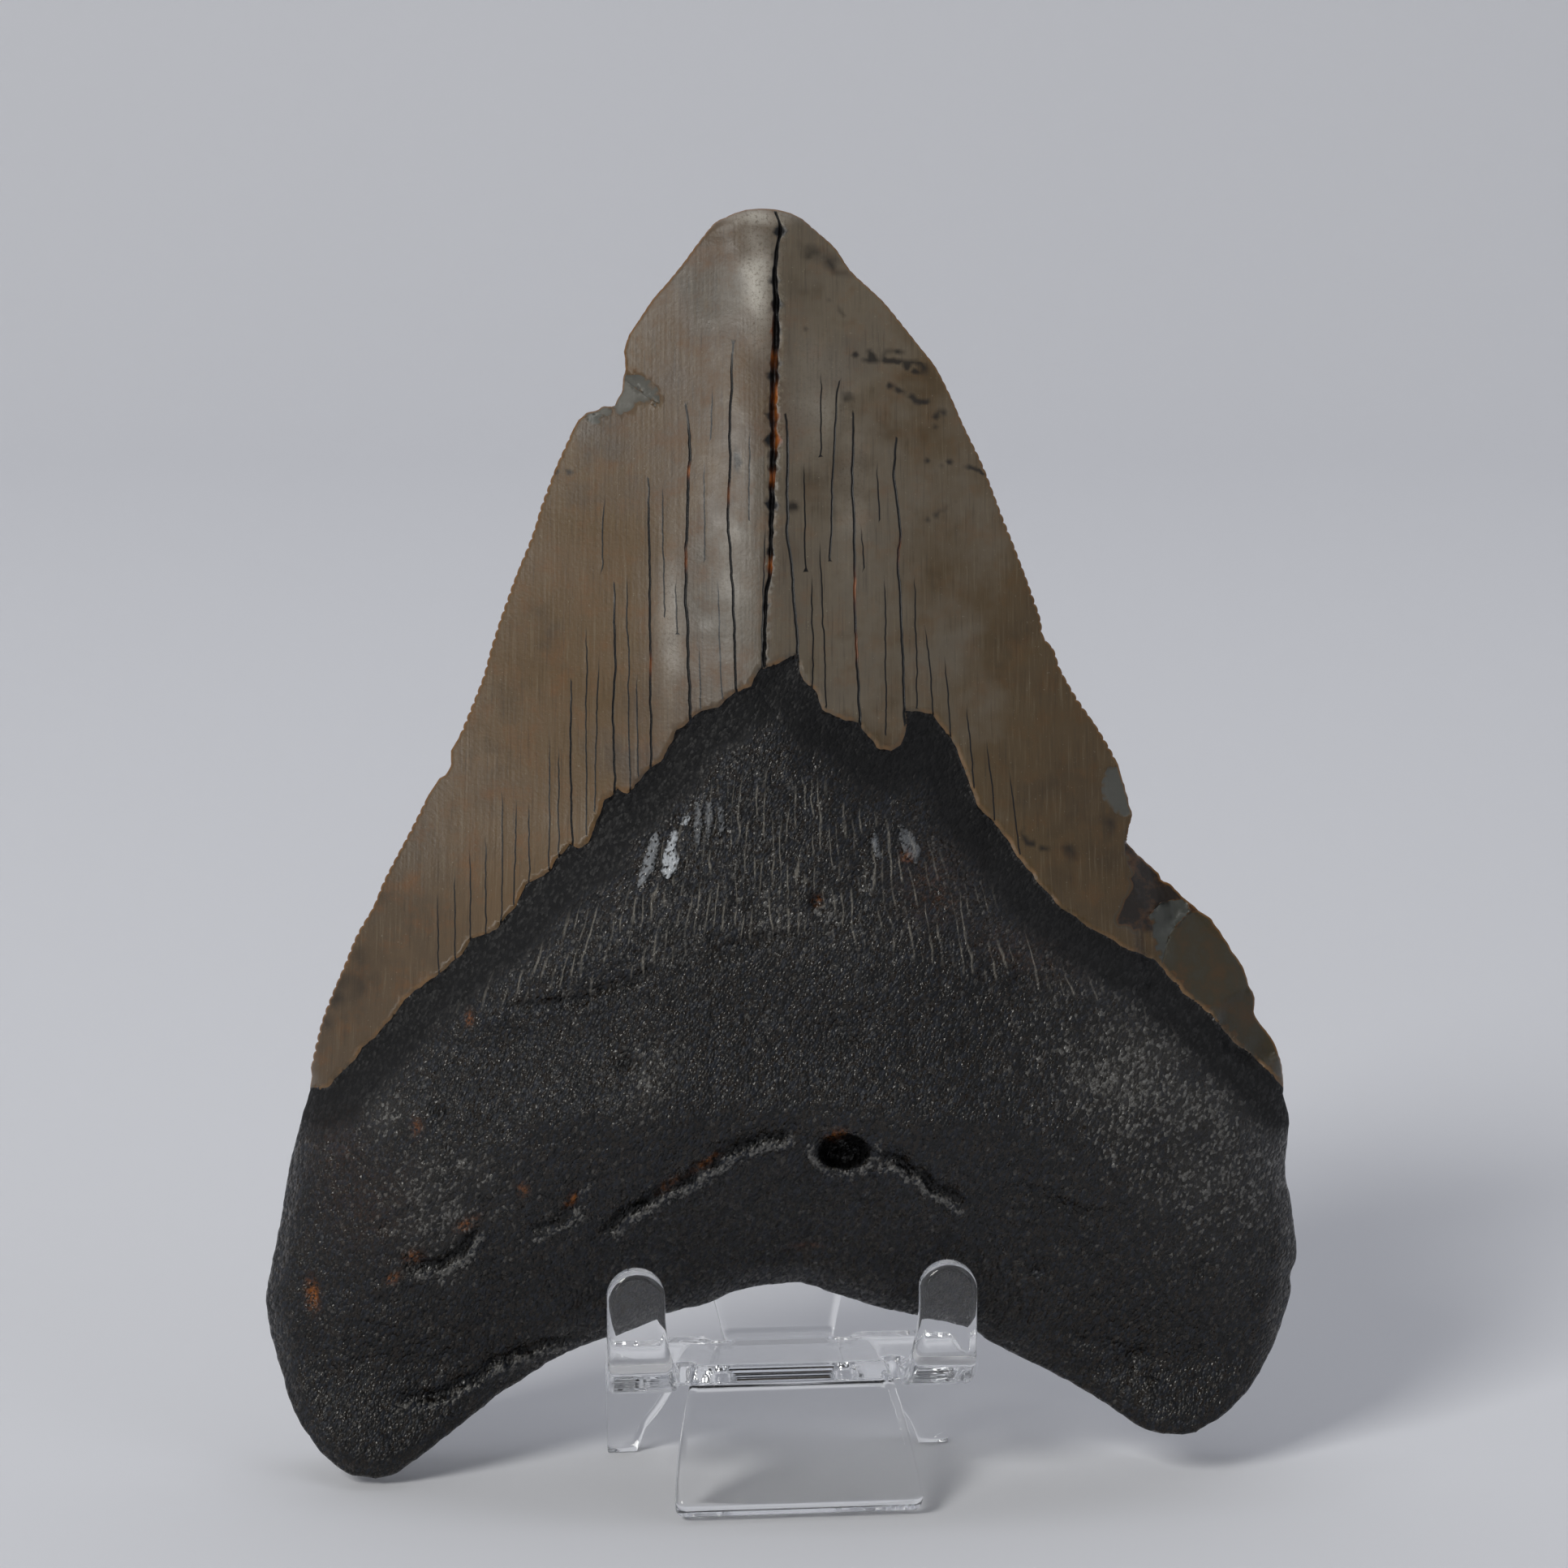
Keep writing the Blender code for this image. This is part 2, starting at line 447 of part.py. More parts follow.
def make_tooth():
    surface = ToothSurface()
    loop = surface.outline
    lines = front_lines(surface.margin)
    on_lines = np.vstack(lines)
    ring = rings(loop)
    front_points = thin_out(ring, on_lines, 0.9)
    filling = scattered(loop, FRONT_SPACING, 1.9, 1)
    filling = thin_out(filling[off_foramen(filling, 1.6)], np.vstack([on_lines, front_points]), 1.25)
    front_points = np.vstack([front_points, filling])
    back_points = np.vstack([ring, thin_out(scattered(loop, BACK_SPACING, 2.4, 2), ring, 1.9)])
    lean = Matrix.Rotation(-TOOTH_LEAN, 3, "X")
    bm = bmesh.new()
    rims = []
    for relief, sign, use_lines, points in ((surface.front, -1.0, lines, front_points),
                                            (surface.back, 1.0, [], back_points)):
        flat, faces, order = triangulate(loop, use_lines, points)
        depth = surface.edge_plane(flat[:, 1]) + sign * relief(flat)
        made = []
        for (x, s), n in zip(flat, depth):
            at = lean @ Vector((x, n, s))
            made.append(bm.verts.new((at + Vector((0.0, 0.0, TOOTH_LIFT))) * MM))
        for face in faces:
            bm.faces.new([made[k] for k in (face if sign < 0 else reversed(face))])
        rims.append([made[k] for k in order])
    count = len(loop)
    for k in range(count):
        k2 = (k + 1) % count
        bm.faces.new((rims[0][k], rims[1][k], rims[1][k2], rims[0][k2]))
    bmesh.ops.recalc_face_normals(bm, faces=bm.faces)
    return add_object("tooth", bm, make_material("tooth", (0.10, 0.08, 0.06, 1.0), 0.45))


def arc(centre, radius, start, end, steps):
    """Points round part of a circle, angles in degrees."""
    turn = np.radians(np.linspace(start, end, steps + 1))
    return [(centre[0] + radius * math.cos(a), centre[1] + radius * math.sin(a)) for a in turn]


def sheet_lengths():
    """How far each tab runs from its bend line, along the middle of the sheet."""
    middle = SHELF_TOP - SHEET / 2
    quarter = BEND_RADIUS * math.pi / 2
    hook = quarter + HOOK_HEIGHT - middle - BEND_RADIUS
    drop = middle - BEND_RADIUS * (1 - math.cos(FOOT_SLOPE)) - SHEET / 2 * math.cos(FOOT_SLOPE)
    foot = BEND_RADIUS * FOOT_SLOPE + drop / math.sin(FOOT_SLOPE)
    leg = quarter + middle - BEND_RADIUS
    return hook, foot, leg


def blank_half():
    """Right half of the flat blank, (x, u), from the foot's middle to the back rest's middle.
    u is 0 at the front bend line and SHELF_DEPTH at the rear one."""
    hook, foot, leg = sheet_lengths()
    half = (HALF_WIDTH_FRONT - HOOK_INNER) / 2
    round_at = (HOOK_INNER + half, half - hook)
    rear = SHELF_DEPTH
    line = arc((FOOT_HALF_WIDTH - 0.9, 0.9 - foot), 0.9, -90, 0, 3)
    line += [tuple(p) for p in smooth_line(FOOT_EDGE[::-1], 1.7)]
    line += arc(FRONT_SLOT[0], FRONT_SLOT[0][0] - FOOT_EDGE[0][0], 150, 40, 4)
    line += [(10.25, -0.6), (10.6, -2.0), (10.8, -3.8), (HOOK_INNER, -6.0)]
    line += arc(round_at, half, 180, 360, 12)
    line += [(HALF_WIDTH_FRONT, -1.0), (HALF_WIDTH_REAR + 0.2, rear), (HALF_WIDTH_REAR, rear + leg)]
    line += [(LEG_FOOT_INNER, rear + leg)]
    line += [(x, rear + u) for x, u in smooth_line(LEG_INNER[::-1], 1.6)]
    line += arc((REAR_SLOT[0][0], rear + 0.35), 0.72, -10, -170, 4)
    line += [(x, rear + u) for x, u in smooth_line(REST_EDGE, 2.4)]
    corner = (REST_HALF_WIDTH - REST_CORNER, rear + REST_LENGTH - REST_CORNER)
    line += arc(corner, REST_CORNER, 0, 90, 6)
    return line


def bent(length, angle, up):
    """Where a tab's middle line gets to after a run past its bend line: (forward, rise)."""
    sign = 1.0 if up else -1.0
    turned = min(length / BEND_RADIUS, angle)
    forward = BEND_RADIUS * math.sin(turned)
    rise = BEND_RADIUS * (1 - math.cos(turned))
    rest = max(0.0, length - BEND_RADIUS * angle)
    return forward + rest * math.cos(angle), sign * (rise + rest * math.sin(angle))


def slot_middle(slot, run):
    """Half width at which a slot parts the middle tab from the side tabs."""
    line = np.array(slot)
    return np.interp(abs(run), np.abs(line[:, 1]), line[:, 0])


def fold(x, u, hooks, legs):
    """The bent place of a blank's point, in the stand's own frame."""
    level = SHELF_TOP - SHEET / 2
    if u < 0.0:
        out, rise = bent(-u, math.pi / 2, True) if hooks else bent(-u, FOOT_SLOPE, False)
        return Vector((x, -out, level + rise))
    if u > SHELF_DEPTH:
        past = u - SHELF_DEPTH
        out, rise = bent(past, math.pi / 2, False) if legs else bent(past, math.pi / 2 - REST_LEAN, True)
        return Vector((x, SHELF_DEPTH + out, level + rise))
    return Vector((x, u, level))


def make_stand():
    half = blank_half()
    loop = half + [(-x, u) for x, u in reversed(half)]
    bm = bmesh.new()
    verts = [bm.verts.new((x, u, 0.0)) for x, u in loop]
    bm.faces.new(verts)
    bends = [(0.0, -1.0, math.pi / 2), (0.0, -1.0, FOOT_SLOPE),
             (SHELF_DEPTH, 1.0, math.pi / 2), (SHELF_DEPTH, 1.0, math.pi / 2 - REST_LEAN)]
    cuts = sorted({round(line + way * BEND_RADIUS * angle * k / BEND_STEPS, 6)
                   for line, way, angle in bends for k in range(BEND_STEPS + 1)})
    for u in cuts:
        geometry = bm.verts[:] + bm.edges[:] + bm.faces[:]
        bmesh.ops.bisect_plane(bm, geom=geometry, dist=1e-5, plane_co=(0, u, 0), plane_no=(0, 1, 0))
    turn = Matrix.Rotation(STAND_TURN, 3, "Z")
    for v in bm.verts:
        x, u = v.co.x, v.co.y
        bent_up_front = abs(x) > slot_middle(FRONT_SLOT, u)
        bent_down_rear = abs(x) > slot_middle(REAR_SLOT, u - SHELF_DEPTH)
        at = turn @ fold(x, u, bent_up_front, bent_down_rear)
        v.co = (at + Vector((*STAND_PLACE, 0.0))) * MM
    bmesh.ops.recalc_face_normals(bm, faces=bm.faces)
    stand = add_object("display_stand", bm, make_material("clear_acrylic", (0.9, 0.93, 0.95, 0.35), 0.05))
    thick = stand.modifiers.new("sheet", "SOLIDIFY")
    thick.thickness = SHEET * MM
    thick.offset = 0.0
    thick.use_even_offset = True
    rounded = stand.modifiers.new("polished_edges", "BEVEL")
    rounded.width = EDGE_ROUND * MM
    rounded.segments = EDGE_ROUND_STEPS
    rounded.limit_method = "ANGLE"
    rounded.angle_limit = math.radians(50.0)
    rounded.use_clamp_overlap = True
    return stand


def make_material(name, colour, roughness):
    material = bpy.data.materials.new(name)
    material.use_nodes = True
    shader = material.node_tree.nodes["Principled BSDF"]
    shader.inputs["Base Color"].default_value = colour
    shader.inputs["Roughness"].default_value = roughness
    return material


def add_object(name, bm, material):
    mesh = bpy.data.meshes.new(name)
    bm.to_mesh(mesh)
    bm.free()
    mesh.materials.append(material)
    thing = bpy.data.objects.new(name, mesh)
    bpy.context.scene.collection.objects.link(thing)
    return thing


def centre_on_origin(things):
    """Moves everything so that the whole box stands on the floor, centred on the origin."""
    bpy.context.view_layer.update()
    graph = bpy.context.evaluated_depsgraph_get()
    corners = []
    for thing in things:
        mesh = thing.evaluated_get(graph).to_mesh()
        corners += [v.co.copy() for v in mesh.vertices]
    low = Vector([min(c[k] for c in corners) for k in range(3)])
    high = Vector([max(c[k] for c in corners) for k in range(3)])
    for thing in things:
        thing.location = (-(low.x + high.x) / 2, -(low.y + high.y) / 2, -low.z)


def main():
    for thing in list(bpy.data.objects):
        bpy.data.objects.remove(thing)
    centre_on_origin([make_tooth(), make_stand()])


main()
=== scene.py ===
# Fossil megalodon tooth leaning on a small stand bent from one sheet of clear acrylic.
# The tooth is drawn flat in its own face plane, x across it and s up it, in millimetres. A front and
# a back relief give it thickness along n, which points to the back, and the whole leans back.

import math

import bmesh
import bpy
import numpy as np
from mathutils import Matrix, Vector, kdtree, noise
from mathutils.geometry import delaunay_2d_cdt


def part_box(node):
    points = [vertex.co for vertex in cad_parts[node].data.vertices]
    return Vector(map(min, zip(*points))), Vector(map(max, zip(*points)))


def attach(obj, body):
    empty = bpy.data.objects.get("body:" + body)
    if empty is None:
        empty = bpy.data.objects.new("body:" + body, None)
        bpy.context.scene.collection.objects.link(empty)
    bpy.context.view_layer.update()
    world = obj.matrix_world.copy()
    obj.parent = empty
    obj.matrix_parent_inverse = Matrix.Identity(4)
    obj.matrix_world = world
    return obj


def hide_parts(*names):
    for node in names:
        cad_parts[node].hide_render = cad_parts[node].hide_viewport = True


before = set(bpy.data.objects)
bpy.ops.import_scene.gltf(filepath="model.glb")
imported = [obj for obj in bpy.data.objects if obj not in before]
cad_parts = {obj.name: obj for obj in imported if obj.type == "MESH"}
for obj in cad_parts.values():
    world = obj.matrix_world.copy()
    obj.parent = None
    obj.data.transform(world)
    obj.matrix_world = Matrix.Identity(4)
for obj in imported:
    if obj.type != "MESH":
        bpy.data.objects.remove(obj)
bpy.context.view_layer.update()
mm = 0.001
square = math.pi / 2
print("frame loaded:", sorted(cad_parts))


def toLinear(hexColour, alpha=1.0):
    channels = [int(hexColour[k:k + 2], 16) / 255 for k in (1, 3, 5)]
    return [c / 12.92 if c <= 0.04045 else ((c + 0.055) / 1.055) ** 2.4 for c in channels] + [alpha]


def addNode(tree, kind, sockets=None, stops=None, **settings):
    # sockets maps an input to a value, a node's output or a node, for its first; stops fills a colour ramp
    node = tree.nodes.new(kind)
    for name, value in settings.items():
        setattr(node, name, value)
    for name, value in (sockets or {}).items():
        if isinstance(value, bpy.types.Node):
            value = value.outputs[0]
        if isinstance(value, bpy.types.NodeSocket):
            tree.links.new(value, node.inputs[name])
        else:
            node.inputs[name].default_value = value
    for k, (position, tint) in enumerate(stops or []):
        elements = node.color_ramp.elements
        element = elements[k] if k < 2 else elements.new(position)
        element.position = position
        element.color = toLinear(tint)
    return node


def newMaterial(name):
    material = bpy.data.materials.new(name)
    material.use_nodes = True
    material.node_tree.nodes.clear()
    return material, material.node_tree


def newPiece(name, bm, materials):
    mesh = bpy.data.meshes.new(name)
    bm.to_mesh(mesh)
    bm.free()
    for material in materials:
        mesh.materials.append(material)
    piece = bpy.data.objects.new(name, mesh)
    bpy.context.scene.collection.objects.link(piece)
    return piece


def unit(value):
    return np.clip(value, 0.0, 1.0)


def ramp(low, high, value):
    t = unit((np.asarray(value, float) - low) / (high - low))
    return t * t * (3.0 - 2.0 * t)


def resample(line, step):
    line = np.asarray(line, float)
    run = np.concatenate([[0.0], np.cumsum(np.hypot(*np.diff(line, axis=0).T))])
    at = np.linspace(0.0, run[-1], max(1, int(round(run[-1] / step))) + 1)
    return np.stack([np.interp(at, run, line[:, 0]), np.interp(at, run, line[:, 1])], axis=1)


def smoothLine(points, step, detail=12):
    # Catmull-Rom curve through the points, at an even step
    p = np.asarray(points, float)
    p = np.vstack([2 * p[0] - p[1], p, 2 * p[-1] - p[-2]])
    t = np.linspace(0.0, 1.0, detail, endpoint=False)[:, None]
    runs = []
    for a, b, c, d in zip(p[:-3], p[1:-2], p[2:-1], p[3:]):
        runs.append(0.5 * (2 * b + (c - a) * t + (2 * a - 5 * b + 4 * c - d) * t ** 2
                           + (3 * b - a - 3 * c + d) * t ** 3))
    runs.append(p[-2:-1])
    return resample(np.vstack(runs), step)


def heightCurve(pairs):
    curve = smoothLine(pairs, 0.5)
    return lambda at: np.interp(at, curve[:, 0], curve[:, 1])


def lineDistance(points, line):
    # distance to a polyline, the side (positive to the left of its run) and the run of the nearest place
    best = np.full(len(points), 1e9)
    side = np.ones(len(points))
    along = np.zeros(len(points))
    start = 0.0
    for a, b in zip(line[:-1], line[1:]):
        step = b - a
        length = max(math.hypot(*step), 1e-9)
        rel = points - a
        t = unit(rel @ step / length ** 2)
        off = rel - t[:, None] * step
        gap = np.hypot(off[:, 0], off[:, 1])
        nearer = gap < best
        best[nearer] = gap[nearer]
        side[nearer] = np.sign(step[0] * rel[nearer, 1] - step[1] * rel[nearer, 0])
        along[nearer] = start + t[nearer] * length
        start += length
    return best, side, along


def nearLine(points, line, reach):
    # lineDistance for the points within reach of the line's box; the rest count as far away
    gap, side, along = np.full(len(points), 1e9), np.ones(len(points)), np.zeros(len(points))
    close = np.all((points > line.min(0) - reach) & (points < line.max(0) + reach), axis=1)
    if close.any():
        gap[close], side[close], along[close] = lineDistance(points[close], line)
    return gap, side, along


def insideLoop(points, loop):
    x, y = points[:, 0], points[:, 1]
    hit = np.zeros(len(points), bool)
    for (x0, y0), (x1, y1) in zip(loop, np.roll(loop, -1, axis=0)):
        rise = y1 - y0 if y1 != y0 else 1e-12
        hit ^= ((y0 > y) != (y1 > y)) & (x < x0 + (y - y0) * (x1 - x0) / rise)
    return hit


def leftOf(line):
    run = np.gradient(line, axis=0)
    run /= np.maximum(np.hypot(run[:, 0], run[:, 1]), 1e-9)[:, None]
    return np.stack([-run[:, 1], run[:, 0]], axis=1)


def grain(p, size, seed=0.0, stretch=(1.0, 1.0), octaves=1):
    # smooth noise of about the given grain size in mm, -1 to 1
    total = np.zeros(len(p))
    for octave in range(octaves):
        scale = 2 ** octave / size
        fx, fy = scale / stretch[0], scale / stretch[1]
        total += np.array([noise.noise(Vector((a * fx, b * fy, seed + octave))) for a, b in p]) / 2 ** octave
    return total


def grains(p, sizes):
    # several grains together: (height, size, seed) of each
    return sum(height * grain(p, size, seed) for height, size, seed in sizes)


def blobs(p, places):
    # the strongest of several soft ellipses: (x, s, half width, half height, turn in degrees, strength)
    found = np.zeros(len(p))
    for x, s, wide, high, turn, strength in places:
        c, q = math.cos(math.radians(turn)), math.sin(math.radians(turn))
        dx, ds = p[:, 0] - x, p[:, 1] - s
        across, up = (dx * c + ds * q) / wide, (-dx * q + ds * c) / high
        found = np.maximum(found, strength * np.exp(-(across ** 2 + up ** 2)))
    return found


tooth = {
    "lean": math.radians(10.0), "lift": 0.6, "thinnest": 0.02,
    "ragged": ((1.0, 1.6, 4.0), (0.7, 0.6, 5.0)),       # height, size and seed of each grain
    "edgePlane": 3.7, "curlHeights": (1.0, 11.0),      # the root's lobes curl back at their ends
    "tip": [(0.6, 109.5), (-0.6, 109.8), (-2.0, 109.9), (-3.3, 109.8)],
    "leftTipEdge": [(-4.3, 109.5), (-5.2, 109.1), (-6.1, 108.6), (-7.5, 106.9), (-8.9, 105.0), (-10.3, 103.3),
        (-11.5, 101.9), (-12.9, 99.8)],
    "leftChip": [(-13.5, 98.9), (-13.9, 97.5), (-13.8, 96.1), (-14.0, 94.8), (-14.1, 94.0), (-14.8, 92.7),
        (-15.8, 92.7), (-16.2, 92.3), (-17.2, 92.2), (-17.9, 91.5)],
    "leftEdge": [(-18.4, 90.6), (-19.7, 87.8), (-21.1, 84.2), (-21.9, 81.6), (-23.8, 76.8), (-25.4, 72.1),
        (-26.2, 69.2), (-27.5, 65.9), (-28.4, 63.7)],
    "leftNick": [(-29.0, 62.7), (-29.0, 61.4), (-29.5, 60.5), (-30.0, 60.3)],
    "leftHeel": [(-31.0, 58.8), (-32.9, 55.1), (-34.8, 51.5), (-35.8, 49.1), (-37.2, 46.7), (-38.4, 43.8),
        (-39.9, 40.2), (-40.7, 37.5), (-41.2, 35.1)],
    "leftRoot": [(-41.1, 34.4), (-41.3, 33.2), (-41.8, 31.3), (-43.0, 26.7), (-44.1, 20.4), (-44.9, 16.5),
        (-45.1, 14.8), (-44.5, 11.3), (-42.8, 6.3), (-41.2, 3.8), (-39.6, 1.8), (-38.1, 0.7), (-36.7, 0.1),
        (-35.2, -0.1)],
    "arch": [(-33.8, 0.2), (-32.6, 0.9), (-29.5, 3.2), (-25.5, 6.3), (-23.5, 7.6), (-19.4, 10.1), (-15.3, 11.7),
        (-10.3, 13.7), (-7.0, 14.5), (-3.7, 15.8), (-0.4, 16.3), (1.7, 16.3), (4.7, 15.4), (8.1, 14.3),
        (11.6, 13.6), (14.6, 13.1), (16.3, 12.5), (18.4, 11.0), (23.6, 8.5), (27.9, 6.1), (30.5, 4.4),
        (32.7, 3.7), (34.4, 3.6)],
    "rightRoot": [(35.6, 3.8), (37.5, 4.9), (39.0, 6.0), (40.6, 7.6), (42.3, 10.4), (43.6, 13.7), (44.2, 15.9),
        (44.1, 17.1), (44.6, 18.9), (44.2, 23.1), (43.6, 26.3), (44.0, 30.1), (43.8, 31.5)],
    "rightChip": [(43.4, 32.9), (43.5, 34.3), (43.2, 35.9), (42.5, 37.5), (40.8, 39.9), (41.0, 41.1),
        (39.9, 43.9), (38.0, 46.9), (37.2, 48.1), (36.0, 48.8), (33.5, 51.2), (32.9, 51.4), (32.7, 52.0),
        (30.7, 53.7), (29.8, 54.8), (30.3, 57.2), (29.5, 60.0)],
    "rightEdge": [(29.1, 61.5), (28.4, 62.9), (27.3, 64.7), (25.4, 67.5), (24.1, 69.8), (23.5, 71.5),
        (22.6, 72.7), (22.2, 74.7), (20.3, 79.9), (18.8, 83.7), (17.3, 87.6), (15.6, 91.1), (14.5, 93.6),
        (13.2, 96.1), (11.8, 97.9), (9.0, 101.4), (7.6, 102.8), (5.8, 104.5), (4.5, 106.4), (3.1, 107.7),
        (1.6, 109.0)],
    "leftBefore": [(-15.1, 96.3)],                     # where the unbroken edges once ran
    "rightBefore": [(43.5, 34.3), (42.1, 40.1), (38.4, 46.8), (34.6, 52.8), (31.0, 58.5)],
    "sawPitch": 0.84, "sawDepth": 0.12, "sawWorn": 0.04, "sawSharpBelow": 90.0,
    "frontRidge": [(-2, 7.0), (10, 9.8), (20, 12.8), (28, 15.3), (38, 15.4), (50, 14.6), (60, 13.0), (70, 11.2),
        (80, 9.2), (90, 6.9), (100, 4.3), (106, 2.6), (110, 1.4)],
    "backRidge": [(-2, 1.0), (10, 1.2), (28, 1.6), (40, 3.0), (50, 3.8), (70, 3.5), (90, 2.4), (105, 1.1),
        (110, 0.7)],
    "lobeThinning": 0.50, "lobesAcross": (6.0, 42.0), "lobesUp": (40.0, 60.0), "edgeFirm": (0.3, 2.5),
    "crownBase": (38.0, 58.0), "rootTop": (31.0, 38.0), "tipBlunting": (106.0, 109.0),
    "rootSideWidth": 15.0, "archSlopeWidth": 20.0, "frontFlank": 0.45, "backFlank": 0.6, "crownFlatness": 2.3,
    "bladeRim": (0.12, 0.15), "rootRim": (2.2, 2.4), "tipRim": (0.67, 0.75),   # half height, reach
}

